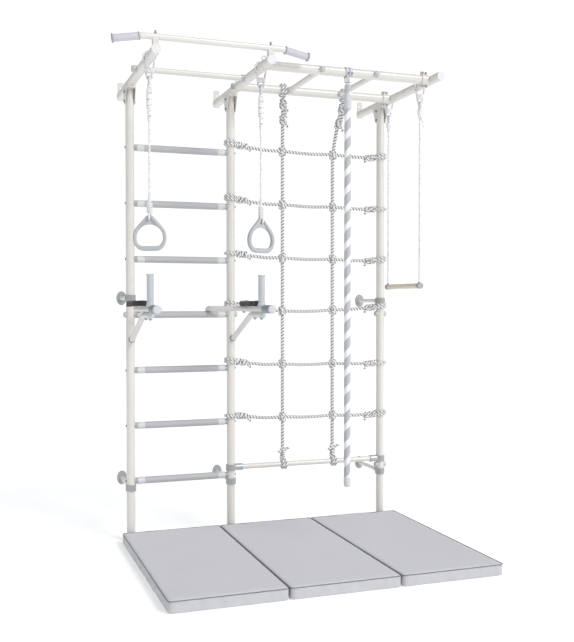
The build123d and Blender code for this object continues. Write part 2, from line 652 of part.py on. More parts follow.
# ---------------------------------------------------------------- floor mat
def mat():
    cuts = {
        "mat_left": (MAT_X0, MAT_SEAM_1 - 0.5),
        "mat_middle": (MAT_SEAM_1 + 0.5, MAT_SEAM_2 - 0.5),
        "mat_right": (MAT_SEAM_2 + 0.5, MAT_X1),
    }
    for name, x in cuts.items():
        save(name, block(x, (MAT_FRONT_Y, MAT_BACK_Y), (0, MAT_THICK)))


os.makedirs("parts", exist_ok=True)
posts_and_feet()
arms()
saddles()
frame_bolts()
beams()
clamps_and_stays()
end_knobs()
rungs()
pull_up_bar()
net()
rings()
trapeze()
climbing_rope()
dip_unit("left", X_LEFT, 1)
dip_unit("right", X_MID, -1)
mat()
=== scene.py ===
import math
import random

import bpy
import numpy as np
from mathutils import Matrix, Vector


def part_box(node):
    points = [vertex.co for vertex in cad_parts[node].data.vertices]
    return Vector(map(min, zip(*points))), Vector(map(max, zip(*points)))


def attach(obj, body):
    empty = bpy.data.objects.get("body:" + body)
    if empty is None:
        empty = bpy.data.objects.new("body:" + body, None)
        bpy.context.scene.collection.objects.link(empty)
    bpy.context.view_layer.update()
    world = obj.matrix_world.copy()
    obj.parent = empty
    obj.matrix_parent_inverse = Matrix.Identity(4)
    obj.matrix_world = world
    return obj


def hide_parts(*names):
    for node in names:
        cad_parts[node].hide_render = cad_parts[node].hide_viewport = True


# Looks of the wall-mounted home gym: ropes, grips, straps and the floor mat are made here around the
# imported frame, and every part gets its finish. Metres throughout.

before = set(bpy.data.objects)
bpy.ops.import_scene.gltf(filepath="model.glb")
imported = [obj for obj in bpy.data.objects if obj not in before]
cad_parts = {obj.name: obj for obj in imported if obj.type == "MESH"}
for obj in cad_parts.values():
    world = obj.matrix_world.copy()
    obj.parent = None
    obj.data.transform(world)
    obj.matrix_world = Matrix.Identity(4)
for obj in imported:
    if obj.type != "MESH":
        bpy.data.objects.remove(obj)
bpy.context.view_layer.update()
UP = np.array((0.0, 0.0, 1.0))
TAU = 2 * math.pi

# ---------------------------------------------------------------- places, from the frame
POST_R = 0.02115
NET_R = 0.0075
NET_STRANDS, NET_LEAD = 2, 0.034
TACKLE_R = 0.005
RAIL_R = 0.0134


def middle(node):
    low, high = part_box(node)
    return (low + high) / 2


ARM_Z = middle("overhead_arms").z
Y_POST = middle("lower_posts").y
X_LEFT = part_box("lower_posts")[0].x + POST_R
X_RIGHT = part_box("lower_posts")[1].x - POST_R
X_MID = middle("right_ring_rope").x
REAR_BEAM_Y = middle("rear_beam").y
NET_BAR_Z = middle("net_bar").z
RING_Y = middle("left_ring_rope").y
CLIMB_X = middle("climbing_rope").x
CLIMB_Y = middle("climbing_rope").y


# ---------------------------------------------------------------- camera, light, floor
def make_camera():
    yaw, pitch = math.radians(19.54), math.radians(-1.17)
    data = bpy.data.cameras.new("camera")
    data.lens = 50.38
    cam = bpy.data.objects.new("camera", data)
    cam.location = (-1.377, -4.028, 1.185)
    look = Vector((math.sin(yaw) * math.cos(pitch), math.cos(yaw) * math.cos(pitch), math.sin(pitch)))
    cam.rotation_mode = "QUATERNION"
    cam.rotation_quaternion = look.to_track_quat("-Z", "Y")
    bpy.context.scene.collection.objects.link(cam)
    bpy.context.scene.camera = cam


def sun(name, azimuth, elevation, strength, softness):
    data = bpy.data.lights.new(name, "SUN")
    data.energy, data.angle = strength, math.radians(softness)
    a, e = math.radians(azimuth), math.radians(elevation)
    source = Vector((math.sin(a) * math.cos(e), -math.cos(a) * math.cos(e), math.sin(e)))
    light = bpy.data.objects.new(name, data)
    light.rotation_mode = "QUATERNION"
    light.rotation_quaternion = (-source).to_track_quat("-Z", "Y")
    bpy.context.scene.collection.objects.link(light)


def strip(name, place, width, height, power):
    """Upright panel light that faces the gym and draws the long highlights on its tubes."""
    data = bpy.data.lights.new(name, "AREA")
    data.shape, data.size, data.size_y, data.energy = "RECTANGLE", width, height, power
    light = bpy.data.objects.new(name, data)
    light.location = place
    away = Vector((place[0], place[1], 0)).normalized()
    light.rotation_mode = "QUATERNION"
    light.rotation_quaternion = (-away).to_track_quat("-Z", "Y")
    bpy.context.scene.collection.objects.link(light)


def make_studio():
    bpy.context.scene.view_settings.view_transform = "Standard"
    world = bpy.data.worlds.new("studio")
    bpy.context.scene.world = world
    world.use_nodes = True
    nodes, links = world.node_tree.nodes, world.node_tree.links
    shade = nodes["Background"]
    shade.inputs["Color"].default_value = (0.96, 0.98, 1.0, 1)
    shade.inputs["Strength"].default_value = 0.48
    white = nodes.new("ShaderNodeBackground")
    white.inputs["Color"].default_value = (1, 1, 1, 1)
    white.inputs["Strength"].default_value = 1.05
    seen, mix = nodes.new("ShaderNodeLightPath"), nodes.new("ShaderNodeMixShader")
    links.new(seen.outputs["Is Camera Ray"], mix.inputs["Fac"])
    links.new(shade.outputs[0], mix.inputs[1])
    links.new(white.outputs[0], mix.inputs[2])
    links.new(mix.outputs[0], nodes["World Output"].inputs["Surface"])
    sun("key_light", 30, 40, 1.75, 28)
    sun("fill_light", -70, 30, 0.2, 70)
    strip("strip_light", (4.2, -3.6, 1.5), 0.5, 3.4, 26)
    size = 14
    mesh = bpy.data.meshes.new("floor")
    corners = [(-size, -size, 0), (size, -size, 0), (size, size, 0), (-size, size, 0)]
    mesh.from_pydata(corners, [], [(0, 1, 2, 3)])
    floor = bpy.data.objects.new("floor", mesh)
    bpy.context.scene.collection.objects.link(floor)
    mesh.materials.append(surface("floor_white", (0.95, 0.95, 0.95), 0.8, bump=0.0, glow=0.30))


# ---------------------------------------------------------------- materials
def feed(tree, kind, inputs=(), out=0, **settings):
    """Adds a node fed with numbers, colours or other nodes' outputs, and gives one of its outputs."""
    node = tree.nodes.new(kind)
    for key, value in settings.items():
        setattr(node, key, value)
    for key, value in inputs:
        if isinstance(value, bpy.types.NodeSocket):
            tree.links.new(value, node.inputs[key])
        else:
            node.inputs[key].default_value = value
    return node.outputs[out]


def maths(tree, operation, *values):
    return feed(tree, "ShaderNodeMath", enumerate(values), operation=operation)


def ramp(tree, value, from_low, from_high, low, high):
    """Maps a value from one range to another."""
    return feed(tree, "ShaderNodeMapRange", [("Value", value), ("From Min", from_low), ("From Max", from_high),
                                             ("To Min", low), ("To Max", high)], "Result")


def mixed(tree, share, first, second):
    return feed(tree, "ShaderNodeMix", [("Factor", share), ("A", first), ("B", second)], "Result",
                data_type="RGBA")


def add_bump(tree, height, strength, distance):
    normal = feed(tree, "ShaderNodeBump", [("Height", height), ("Strength", strength), ("Distance", distance)],
                  "Normal")
    tree.links.new(normal, tree.nodes["Principled BSDF"].inputs["Normal"])


def base_of(mat):
    """The base colour socket of a material, and what feeds it now."""
    base = mat.node_tree.nodes["Principled BSDF"].inputs["Base Color"]
    return base, base.links[0].from_socket


def rope_places(tree):
    """Metres along a rope and turns around it, from its UV map."""
    uv = feed(tree, "ShaderNodeUVMap", out="UV", uv_map="rope")
    along = feed(tree, "ShaderNodeSeparateXYZ", [("Vector", uv)], "X")
    return along, along.node.outputs["Y"]


def scaled(colour, factor):
    return tuple(min(1.0, c * factor) for c in colour) + (1,)


def surface(name, colour, rough, grain=900.0, bump=0.15, vary=0.05, blotch=6.0, metallic=0.0,
            coat=0.0, sheen=0.0, edge_tint=0.0, edge_tint_colour=(0.6, 0.6, 0.6), glow=0.0):
    """Procedural finish: colour drifts over blotches, fine grain is in the bump and the roughness."""
    mat = bpy.data.materials.new(name)
    mat.use_nodes = True
    tree = mat.node_tree
    shader = tree.nodes["Principled BSDF"]
    shader.inputs["Metallic"].default_value = metallic
    shader.inputs["Coat Weight"].default_value = coat
    shader.inputs["Sheen Weight"].default_value = sheen
    if glow:
        shader.inputs["Emission Color"].default_value = (1, 1, 1, 1)
        shader.inputs["Emission Strength"].default_value = glow
    where = feed(tree, "ShaderNodeTexCoord", out="Object")
    cloud = feed(tree, "ShaderNodeTexNoise", [("Vector", where), ("Scale", blotch), ("Detail", 5.0)], "Fac")
    fine = feed(tree, "ShaderNodeTexNoise", [("Vector", where), ("Scale", grain), ("Detail", 2.0)], "Fac")
    tint = mixed(tree, cloud, scaled(colour, 1 - vary), scaled(colour, 1 + vary))
    # Convex edges (Pointiness) blend toward a second colour by edge_tint; on the clamps these near-black edges are
    # painted shade.
    if edge_tint:
        edge = feed(tree, "ShaderNodeNewGeometry", out="Pointiness")
        tint = mixed(tree, ramp(tree, edge, 0.53, 0.62, 0.0, edge_tint), tint, (*edge_tint_colour, 1))
    tree.links.new(tint, shader.inputs["Base Color"])
    tree.links.new(ramp(tree, fine, 0.0, 1.0, rough - 0.06, rough + 0.06), shader.inputs["Roughness"])
    if bump:
        add_bump(tree, fine, bump, 0.0004)
    return mat


def add_flecks(mat, dark, share, carriers, pitch):
    """Dark yarns that show as flecks along a braid."""
    tree = mat.node_tree
    base, before = base_of(mat)
    along, around = rope_places(tree)
    cells = []
    for axis, way in (("X", 1), ("Y", -1)):
        shift = maths(tree, "MULTIPLY", along, carriers / pitch * way)
        cells.append((axis, maths(tree, "FLOOR", maths(tree, "MULTIPLY_ADD", around, carriers, shift))))
    cell = feed(tree, "ShaderNodeCombineXYZ", cells)
    chance = feed(tree, "ShaderNodeTexWhiteNoise", [("Vector", cell)], "Value", noise_dimensions="3D")
    tree.links.new(mixed(tree, maths(tree, "LESS_THAN", chance, share), before, (*dark, 1)), base)
    return mat


def add_strand_bands(mat, second, share, lead, stripes, stripe_colour, turns=1):
    """Two colours that wind round a laid rope, the first with fine stripes along its strands."""
    tree = mat.node_tree
    base, before = base_of(mat)
    along, around = rope_places(tree)
    shift = maths(tree, "MULTIPLY", along, -turns / lead)
    wrap = maths(tree, "FLOORED_MODULO", maths(tree, "MULTIPLY_ADD", around, turns, shift), 1.0)
    wave = maths(tree, "SINE", maths(tree, "MULTIPLY", wrap, stripes * TAU))
    striped = mixed(tree, ramp(tree, wave, 0.1, 0.9, 0.0, 0.55), before, (*stripe_colour, 1))
    in_second = maths(tree, "GREATER_THAN", wrap, share)
    tree.links.new(mixed(tree, in_second, striped, (*second, 1)), base)
    return mat


def make_materials():
    m = {}
    m["ivory"] = surface("ivory_powder_coat", (0.765, 0.745, 0.715), 0.34, grain=700, bump=0.10, vary=0.025,
                         coat=0.3, edge_tint=0.25, edge_tint_colour=(0.58, 0.54, 0.48))
    m["grey"] = surface("grey_moulding", (0.39, 0.405, 0.42), 0.40, grain=500, bump=0.10, vary=0.05)
    m["handle"] = surface("handle_moulding", (0.53, 0.555, 0.585), 0.42, grain=520, bump=0.12, vary=0.04)
    m["knob"] = surface("knob_moulding", (0.50, 0.51, 0.52), 0.34, grain=500, bump=0.06, vary=0.04, coat=0.15)
    m["light_grey"] = surface("light_grey_moulding", (0.60, 0.62, 0.65), 0.40, grain=500, bump=0.10, vary=0.04)
    m["cap"] = surface("end_cap_moulding", (0.76, 0.755, 0.775), 0.40, grain=500, bump=0.08, vary=0.03)
    m["sleeve"] = surface("dark_grey_moulding", (0.235, 0.27, 0.30), 0.46, grain=600, bump=0.14, vary=0.06)
    m["ring"] = surface("ring_moulding", (0.46, 0.475, 0.49), 0.38, grain=420, bump=0.10, vary=0.05, edge_tint=0.2,
                        edge_tint_colour=(0.62, 0.64, 0.66))
    # Painted shade: the clamp shells' convex edges turn near-black, drawing their dark outlines.
    m["clamp"] = surface("cast_clamp", (0.55, 0.555, 0.56), 0.30, grain=650, bump=0.14, vary=0.10, metallic=0.3,
                         coat=0.1, edge_tint=0.5, edge_tint_colour=(0.22, 0.22, 0.23))
    m["bolt"] = surface("plated_steel", (0.34, 0.36, 0.38), 0.36, grain=900, bump=0.06, vary=0.10, metallic=0.85)
    m["steel"] = surface("tube_steel", (0.55, 0.56, 0.58), 0.35, grain=900, bump=0.05, vary=0.06, metallic=0.8)
    m["grip"] = surface("rung_grip_moulding", (0.47, 0.47, 0.485), 0.48, grain=650, bump=0.16, vary=0.05)
    m["pull_grip"] = surface("pull_up_grip", (0.60, 0.60, 0.65), 0.55, grain=520, bump=0.25, vary=0.06)
    m["collar"] = surface("pale_collar", (0.66, 0.665, 0.675), 0.42, grain=600, bump=0.08, vary=0.03)
    m["rubber"] = surface("dark_rubber", (0.17, 0.19, 0.21), 0.62, grain=700, bump=0.2, vary=0.08)
    # The dip arms and braces carry the frame's ivory coat; this greyer, darker copy of it is painted shade. Their
    # convex edges darken to a deeper beige.
    m["dip_shaded_ivory"] = surface("dip_arm_ivory_painted_shade", (0.69, 0.665, 0.66), 0.40, grain=700, bump=0.12, vary=0.025,
                             coat=0.08, edge_tint=0.25, edge_tint_colour=(0.52, 0.49, 0.46))
    m["wood"] = wood()
    m["web"] = webbing()
    m["lining"] = surface("strap_lining", (0.30, 0.29, 0.28), 0.9, grain=1400, bump=0.5, vary=0.15, sheen=0.3)
    m["mat"] = surface("mat_cover", (0.665, 0.66, 0.695), 0.46, grain=1300, bump=0.22, vary=0.03, sheen=0.05)
    # Darker copy of the mat cover for the side faces: painted shade on the mat's sides.
    m["mat_side"] = surface("mat_cover_side_shade", (0.50, 0.50, 0.52), 0.46, grain=1300, bump=0.22, vary=0.06)
    m["piping"] = surface("mat_piping", (0.20, 0.20, 0.215), 0.5, grain=1200, bump=0.2, vary=0.08)
    # Near-black strip along the top of the gaps between mat sections: painted shade of the gap.
    m["seam"] = surface("mat_gap_painted_shade", (0.05, 0.05, 0.055), 0.6, grain=1200, bump=0.2, vary=0.1)
    m["net"] = add_strand_bands(
        surface("net_rope", (0.90, 0.89, 0.89), 0.85, grain=1500, bump=0.5, vary=0.06, sheen=0.2),
        (0.22, 0.216, 0.226), 0.58, NET_LEAD, 1, (0.72, 0.71, 0.72), turns=NET_STRANDS)
    m["net_knot"] = add_strand_bands(
        surface("net_rope_knots", (0.86, 0.85, 0.85), 0.85, grain=1500, bump=0.5, vary=0.06, sheen=0.2),
        (0.22, 0.216, 0.226), 0.64, NET_LEAD, 1, (0.68, 0.67, 0.68), turns=NET_STRANDS)
    m["tackle"] = add_flecks(surface("tackle_rope", (0.84, 0.84, 0.855), 0.8, grain=1500, bump=0.4, vary=0.04,
                                     sheen=0.2), (0.40, 0.40, 0.43), 0.13, 8, 0.045)
    m["eye"] = add_flecks(surface("eye_rope", (0.80, 0.80, 0.83), 0.8, grain=1500, bump=0.4, vary=0.04, sheen=0.2),
                          (0.30, 0.30, 0.33), 0.20, 8, 0.040)
    m["whipping"] = surface("whipping_cord", (0.74, 0.74, 0.765), 0.75, grain=1500, bump=0.4, vary=0.03, sheen=0.2)
    m["climb"] = add_strand_bands(
        surface("climbing_rope_yarn", (0.52, 0.53, 0.555), 0.72, grain=1400, bump=0.35, vary=0.05, sheen=0.2),
        (0.88, 0.88, 0.90), 0.60, 0.085, 14, (0.33, 0.335, 0.355))
    m["sling_web"] = add_flecks(surface("hanger_webbing", (0.62, 0.63, 0.66), 0.8, grain=1300, bump=0.5, vary=0.05,
                                        sheen=0.2), (0.22, 0.22, 0.25), 0.35, 10, 0.05)
    return m


def wood():
    """Pale turned hardwood: long wavy grain along the bar."""
    mat = surface("trapeze_wood", (0.74, 0.66, 0.545), 0.5, grain=300, bump=0.08, vary=0.05)
    tree = mat.node_tree
    base, before = base_of(mat)
    where = feed(tree, "ShaderNodeTexCoord", out="Object")
    stretch = feed(tree, "ShaderNodeMapping", [("Vector", where), ("Scale", (160, 9, 160))])
    rings = feed(tree, "ShaderNodeTexNoise", [("Vector", stretch), ("Scale", 1.0), ("Detail", 4.0),
                                              ("Distortion", 0.6)], "Fac")
    tree.links.new(mixed(tree, ramp(tree, rings, 0.48, 0.66, 0.0, 0.5), before, (0.60, 0.48, 0.35, 1)), base)
    return mat


def webbing():
    """Black woven strap: a fine rib across it."""
    mat = surface("black_webbing", (0.022, 0.022, 0.026), 0.75, grain=1100, bump=0.0, vary=0.2, sheen=0.15)
    tree = mat.node_tree
    where = feed(tree, "ShaderNodeTexCoord", out="Object")
    ribs = feed(tree, "ShaderNodeTexWave", [("Vector", where), ("Scale", 300.0), ("Distortion", 0.3)], "Fac",
                bands_direction="Y")
    add_bump(tree, ribs, 0.5, 0.0006)
    return mat


# ---------------------------------------------------------------- mesh helpers
def mesh_object(name, points, faces, material, uv=None, smooth=True):
    mesh = bpy.data.meshes.new(name)
    mesh.from_pydata([tuple(p) for p in points], [], faces)
    mesh.materials.append(material)
    if uv is not None:
        layer = mesh.uv_layers.new(name="rope")
        layer.data.foreach_set("uv", np.asarray(uv, np.float32).ravel())
    if smooth:
        mesh.polygons.foreach_set("use_smooth", [True] * len(mesh.polygons))
    mesh.validate()
    obj = bpy.data.objects.new(name, mesh)
    bpy.context.scene.collection.objects.link(obj)
    return obj


class Build:
    """Collects tubes and lathed forms into one mesh."""

    def __init__(self):
        self.points, self.faces, self.uv, self.count = [], [], [], 0

    def add(self, points, faces, uv):
        self.faces += [tuple(i + self.count for i in face) for face in faces]
        self.points.append(np.asarray(points, float))
        self.uv += uv
        self.count += len(points)

    def object(self, name, material, smooth=True):
        return mesh_object(name, np.concatenate(self.points), self.faces, material, self.uv, smooth)


def spaced(line, step):
    """The line with evenly spaced points, and the distance along it at each."""
    line = np.asarray(line, float)
    along = np.concatenate([[0], np.cumsum(np.linalg.norm(np.diff(line, axis=0), axis=1))])
    at = np.linspace(0, along[-1], max(3, int(math.ceil(along[-1] / step)) + 1))
    return np.stack([np.interp(at, along, line[:, k]) for k in range(3)], axis=1), at


def carried_frames(line, first=None):
    """Two unit vectors across the line at each point, carried along it without twist."""
    run = np.gradient(line, axis=0)
    run /= np.linalg.norm(run, axis=1)[:, None]
    side = np.array(first if first is not None else (0.31, 0.95, 0.05), float)
    side -= run[0] * (side @ run[0])
    if np.linalg.norm(side) < 1e-3:
        side = np.array((1.0, 0.0, 0.0)) - run[0] * run[0][0]
    sides = []
    for t in run:
        side = side - t * (side @ t)
        side /= np.linalg.norm(side)
        sides.append(side)
    sides = np.array(sides)
    return sides, np.cross(run, sides)


def add_tube(build, line, radius, relief=None, sides=20, step=0.0025, closed=False, first=None, start=0.0):
    """Round tube along a line. radius may depend on the distance, relief on distance and angle."""
    line, at = spaced(line, step)
    if closed:
        line, at = line[:-1], at[:-1]
    a, b = carried_frames(np.vstack([line, line[:1]]) if closed else line, first)
    count = len(line)
    a, b = a[:count], b[:count]
    turn = np.arange(sides) / sides
    s = np.repeat(at[:, None], sides, axis=1) + start
    theta = np.repeat(turn[None, :], count, axis=0)
    r = radius(at)[:, None] * np.ones((1, sides)) if callable(radius) else np.full((count, sides), radius)
    if relief is not None:
        r = r * (1 + relief(s, theta))
    ring = a[:, None, :] * np.cos(TAU * theta)[..., None] + b[:, None, :] * np.sin(TAU * theta)[..., None]
    points = (line[:, None, :] + ring * r[..., None]).reshape(-1, 3)
    faces, uv = [], []
    for i in range(count if closed else count - 1):
        nxt = (i + 1) % count
        s0, s1 = at[i] + start, (at[i] if nxt == 0 else at[nxt]) + start + (step if nxt == 0 else 0)
        for j in range(sides):
            k = (j + 1) % sides
            faces.append((i * sides + j, nxt * sides + j, nxt * sides + k, i * sides + k))
            v0, v1 = j / sides, (j + 1) / sides
            uv += [(s0, v0), (s1, v0), (s1, v1), (s0, v1)]
    if not closed:
        for i, flip in ((0, False), (count - 1, True)):
            cap = [i * sides + j for j in range(sides)]
            faces.append(tuple(cap[::-1] if flip else cap))
            uv += [(at[i] + start, j / sides) for j in (range(sides)[::-1] if flip else range(sides))]
    build.add(points, [f[::-1] for f in faces], uv_reversed(faces, uv))


def fit(piece, body, slot, *nodes):
    """Ties a piece to its moving body and hides the nodes of the frame that it stands for; slot is not used."""
    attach(piece, body)
    for node in nodes:
        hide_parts(node)


def turned(name, material, origin, axis, profile, **settings):
    """One lathed form as a piece of its own."""
    build = Build()
    add_lathe(build, origin, axis, profile, **settings)
    return build.object(name, material)


def uv_reversed(faces, uv):
    out, at = [], 0
    for face in faces:
        out += uv[at:at + len(face)][::-1]
        at += len(face)
    return out


def braid(carriers, pitch, depth):
    """Relief of a round braid: strands of two families pass over each other in turn."""
    def relief(s, theta):
        p = carriers * (theta + s / pitch)
        q = carriers * (theta - s / pitch)
        over = (np.floor(p) + np.floor(q)) % 2
        fp, fq = np.sin(np.pi * (p % 1)), np.sin(np.pi * (q % 1))
        height = np.where(over < 1, np.sqrt(fq) * (0.6 + 0.4 * fp), np.sqrt(fp) * (0.6 + 0.4 * fq))
        return depth * (height - 0.75)
    return relief


def laid(strands, lead, depth):
    """Relief of a rope laid up from strands."""
    def relief(s, theta):
        phase = strands * (theta - s / lead)
        return depth * (np.sqrt(np.abs(np.sin(np.pi * phase))) - 0.75)
    return relief


def coiled(pitch, depth):
    """Relief of cord wound tightly round something."""
    def relief(s, theta):
        return depth * (np.abs(np.sin(np.pi * (s / pitch + theta))) - 0.6)
    return relief


def route(points):
    """Points along the smooth line of a cord's route."""
    curve = bpy.data.curves.new("route", "CURVE")
    curve.dimensions = "3D"
    curve.resolution_u = 24
    spline = curve.splines.new("NURBS")
    spline.points.add(len(points) - 1)
    for place, point in zip(spline.points, points):
        place.co = (*point, 1)
    spline.order_u = 3
    spline.use_endpoint_u = True
    holder = bpy.data.objects.new("route", curve)
    mesh = bpy.data.meshes.new_from_object(holder)
    line = np.array([v.co for v in mesh.vertices], float)
    bpy.data.meshes.remove(mesh)
    bpy.data.objects.remove(holder)
    bpy.data.curves.remove(curve)
    return line


def add_lathe(build, origin, axis, profile, sides=32, flutes=0, flute_depth=0.0):
    """Turned form: profile is (distance along the axis, radius, share of the flutes) from end to end."""
    origin, axis = np.array(origin, float), np.array(axis, float)
    axis /= np.linalg.norm(axis)
    helper = np.array((0.0, 0.0, 1.0)) if abs(axis[2]) < 0.9 else np.array((1.0, 0.0, 0.0))
    a = np.cross(axis, helper)
    a /= np.linalg.norm(a)
    b = np.cross(axis, a)
    theta = np.arange(sides) / sides
    wave = np.sqrt(np.abs(np.sin(np.pi * flutes * theta))) - 0.7 if flutes else np.zeros(sides)
    points, faces, uv = [], [], []
    for x, r, *share in profile:
        rr = r + (flute_depth * wave * (share[0] if share else 0))
        ring = a * (np.cos(TAU * theta) * rr)[:, None] + b * (np.sin(TAU * theta) * rr)[:, None]
        points.append(origin + axis * x + ring)
    for i in range(len(profile) - 1):
        for j in range(sides):
            k = (j + 1) % sides
            faces.append((i * sides + j, i * sides + k, (i + 1) * sides + k, (i + 1) * sides + j))
            uv += [(profile[i][0], j / sides), (profile[i][0], (j + 1) / sides),
                   (profile[i + 1][0], (j + 1) / sides), (profile[i + 1][0], j / sides)]
    for i, flip in ((0, True), (len(profile) - 1, False)):
        cap = [i * sides + j for j in range(sides)]
        faces.append(tuple(cap[::-1] if flip else cap))
        uv += [(profile[i][0], j / sides) for j in range(sides)]
    build.add(np.concatenate(points), faces, uv)


def arc(centre, major, u, v, start, end, count=40):
    """Points on an arc in the plane of two unit vectors, angles in turns."""
    t = np.linspace(start, end, count) * TAU
    return np.array(centre) + major * (np.cos(t)[:, None] * np.array(u) + np.sin(t)[:, None] * np.array(v))


def helix(centre, axis, major, pitch, turns, phase=0.0, count=30):
    """Points on a helix round an axis, centred on a point."""
    axis = np.array(axis, float) / np.linalg.norm(axis)
    helper = UP if abs(axis[2]) < 0.9 else np.array((1.0, 0.0, 0.0))
    a = np.cross(axis, helper)
    a /= np.linalg.norm(a)
    b = np.cross(axis, a)
    t = np.linspace(0, turns, max(8, int(turns * count)))
    c = np.cos(TAU * (t + phase))[:, None] * a + np.sin(TAU * (t + phase))[:, None] * b
    return np.array(centre) + major * c + axis * ((t - turns / 2) * pitch)[:, None]


# ---------------------------------------------------------------- rope net
NET_LAY = laid(NET_STRANDS, NET_LEAD, 0.16)
NET_TOP_Z, NET_PITCH = 1.976, 0.278
COLUMN_XS = (X_MID + 0.282, X_MID + 0.564)
COLUMN_TOP_XS = (X_MID + 0.237, X_MID + 0.570)
COLUMN_BEND_Z = 2.035
KNOT_OFFSET = 0.046
ROW_RISE = (0.016, -0.003, 0, -0.009, -0.002, -0.011, -0.007)
ROW_4_RISE = (0.028, 0.009, -0.001, -0.005, 0.004, 0.006, 0.019)


def row_route(row):
    z = NET_TOP_Z - NET_PITCH * row
    x0, x3 = X_MID + KNOT_OFFSET, X_RIGHT - KNOT_OFFSET
    x1, x2 = COLUMN_XS
    xs = (x0, (x0 + x1) / 2, x1, (x1 + x2) / 2, x2, (x2 + x3) / 2, x3)
    rise = ROW_4_RISE if row == 3 else ROW_RISE
    return [(x, Y_POST, z + dz) for x, dz in zip(xs, rise)]


def column_route(top_x, x):
    return [
        (top_x, REAR_BEAM_Y, ARM_Z - POST_R - 0.009),
        (x, Y_POST, COLUMN_BEND_Z),
        (x, Y_POST, COLUMN_BEND_Z - 0.24),
        (x, Y_POST, NET_BAR_Z + RAIL_R + 0.007),
    ]


def rope_turn(build, line, closed=False, radius=NET_R, relief=NET_LAY, sides=16, step=0.0028):
    add_tube(build, line, radius, relief, sides=sides, step=step, closed=closed)


def rope_tail(build, start, direction, length, radius=NET_R * 0.85):
    """Cut end of rope that stands off a knot and droops."""
    start, direction = np.array(start), np.array(direction, float)
    direction /= np.linalg.norm(direction)
    t = np.linspace(0, 1, 12)[:, None]
    line = start + direction * length * t - UP * 0.012 * t ** 2
    rope_turn(build, line, radius=lambda s: radius * (1 + 0.12 * np.clip((s - length * 0.8) / length, 0, 1)))


def crossing_knot(build, place, seed):
    """Hitch of a row round a column: turns above and below the row, and a strand across them."""
    rng = random.Random(seed)
    x, y, z = place
    lean = rng.uniform(-0.15, 0.15)
    for dz, way in ((-0.0150, 1), (0.0150, -1)):
        axis = (lean, 0.15 * way, 1)
        rope_turn(build, helix((x, y, z + dz), axis, 0.0142, 0.005, 1.02, phase=rng.random()), radius=0.0066)
    across = helix((x, y, z), (0.9, 0.25 * rng.choice((-1, 1)), 0.8), 0.0150, 0.004, 1.02, phase=rng.random())
    rope_turn(build, across, radius=0.0068)
    other = helix((x, y, z), (0.9, 0.2 * rng.choice((-1, 1)), -0.7), 0.0128, 0.004, 1.02, phase=rng.random())
    rope_turn(build, other, radius=0.0062)


def post_knot(build, end, way, seed):
    """The end of a row goes round the post twice and is hitched to itself beside it."""
    rng = random.Random(seed)
    x, y, z = end
    post_x = x - way * KNOT_OFFSET
    major = POST_R + NET_R * 0.95
    ring = arc((post_x, y, z), major, (1, 0, -way * 0.10), (0, 1, 0), 0.0, 1.0, 60)
    rope_turn(build, ring, radius=NET_R * 0.98)
    if seed % 3 != 1:
        rope_turn(build, ring[6:-6] + np.array((0, 0, 0.0142)), radius=NET_R * 0.95)
    for dy, dz in ((-1, 0.003), (1, -0.003)):
        lead = [(post_x + way * 0.002, y + dy * 0.0288, z), (post_x + way * 0.022, y + dy * 0.022, z),
                (x - way * 0.012, y + dy * 0.007, z + dz), (x + way * 0.012, y + dy * 0.004, z)]
        rope_turn(build, route(lead), radius=NET_R * 0.95)
    for k in range(5):
        centre = (x + way * (0.0128 * k - 0.012), y, z - 0.0008 * k)
        axis = (1, 0.25 * rng.uniform(-1, 1), 0.30 * way + rng.uniform(-0.08, 0.08))
        size = 0.0128 if k < 3 else 0.0108
        rope_turn(build, helix(centre, axis, size, 0.003, 1.02, phase=rng.random()), radius=0.0068)
    rope_tail(build, (x + way * 0.024, y - 0.012, z - 0.006), (way, -0.15, -0.35), 0.034)


def column_knots(build, line, top_x, x, seed):
    """Double turn over the beam with its noose and two knots, and the hitch round the net bar."""
    rng = random.Random(seed)
    major = POST_R + NET_R * 0.95
    for dx in (-0.0078, 0.0078):
        ring = arc((top_x + dx, REAR_BEAM_Y, ARM_Z), major, (0, 1, 0), (0, 0, 1), 0.0, 1.0, 60)
        rope_turn(build, ring, closed=True)
    length = np.concatenate([[0], np.cumsum(np.linalg.norm(np.diff(line, axis=0), axis=1))])

    def on_line(distance):
        return np.array([np.interp(distance, length, line[:, k]) for k in range(3)])

    for distance in (0.040, 0.125):
        here, run = on_line(distance), on_line(distance + 0.02) - on_line(distance)
        for k in (-1, 0, 1):
            axis = run / np.linalg.norm(run) + np.array([rng.uniform(-0.3, 0.3) for _ in range(3)])
            centre = here + run / np.linalg.norm(run) * 0.0135 * k + np.array((0.003, 0, 0))
            rope_turn(build, helix(centre, axis, 0.0140, 0.003, 1.02, phase=rng.random()), radius=0.0070)
        rope_tail(build, here + np.array((0.006, -0.006, -0.004)), (0.6, -0.4, -0.9), 0.030)
    doubled = [on_line(d) + np.array((0.0135, -0.004, 0.0)) for d in (0.038, 0.06, 0.085, 0.112)]
    rope_turn(build, route(doubled), radius=NET_R * 0.95)
    ring = arc((x, Y_POST, NET_BAR_Z), RAIL_R + NET_R * 0.95, (0, 1, 0), (0, 0, 1), 0.0, 1.0, 50)
    rope_turn(build, ring, closed=True)
    rope_turn(build, ring + np.array((0.0142, 0, 0)), closed=True)
    for dz, turns in ((0.403, 3), (0.372, 2)):
        for k in range(turns):
            axis = (rng.uniform(-0.2, 0.2), rng.uniform(-0.2, 0.2), 1)
            centre = (x, Y_POST, dz + 0.012 * (k - (turns - 1) / 2))
            rope_turn(build, helix(centre, axis, 0.0098, 0.003, 1.02, phase=rng.random()), radius=0.0061)
    rope_tail(build, (x + 0.010, Y_POST - 0.008, 0.412), (0.7, -0.4, 0.8), 0.034)
    rope_tail(build, (x - 0.008, Y_POST - 0.008, 0.404), (-0.8, -0.3, 0.5), 0.026)


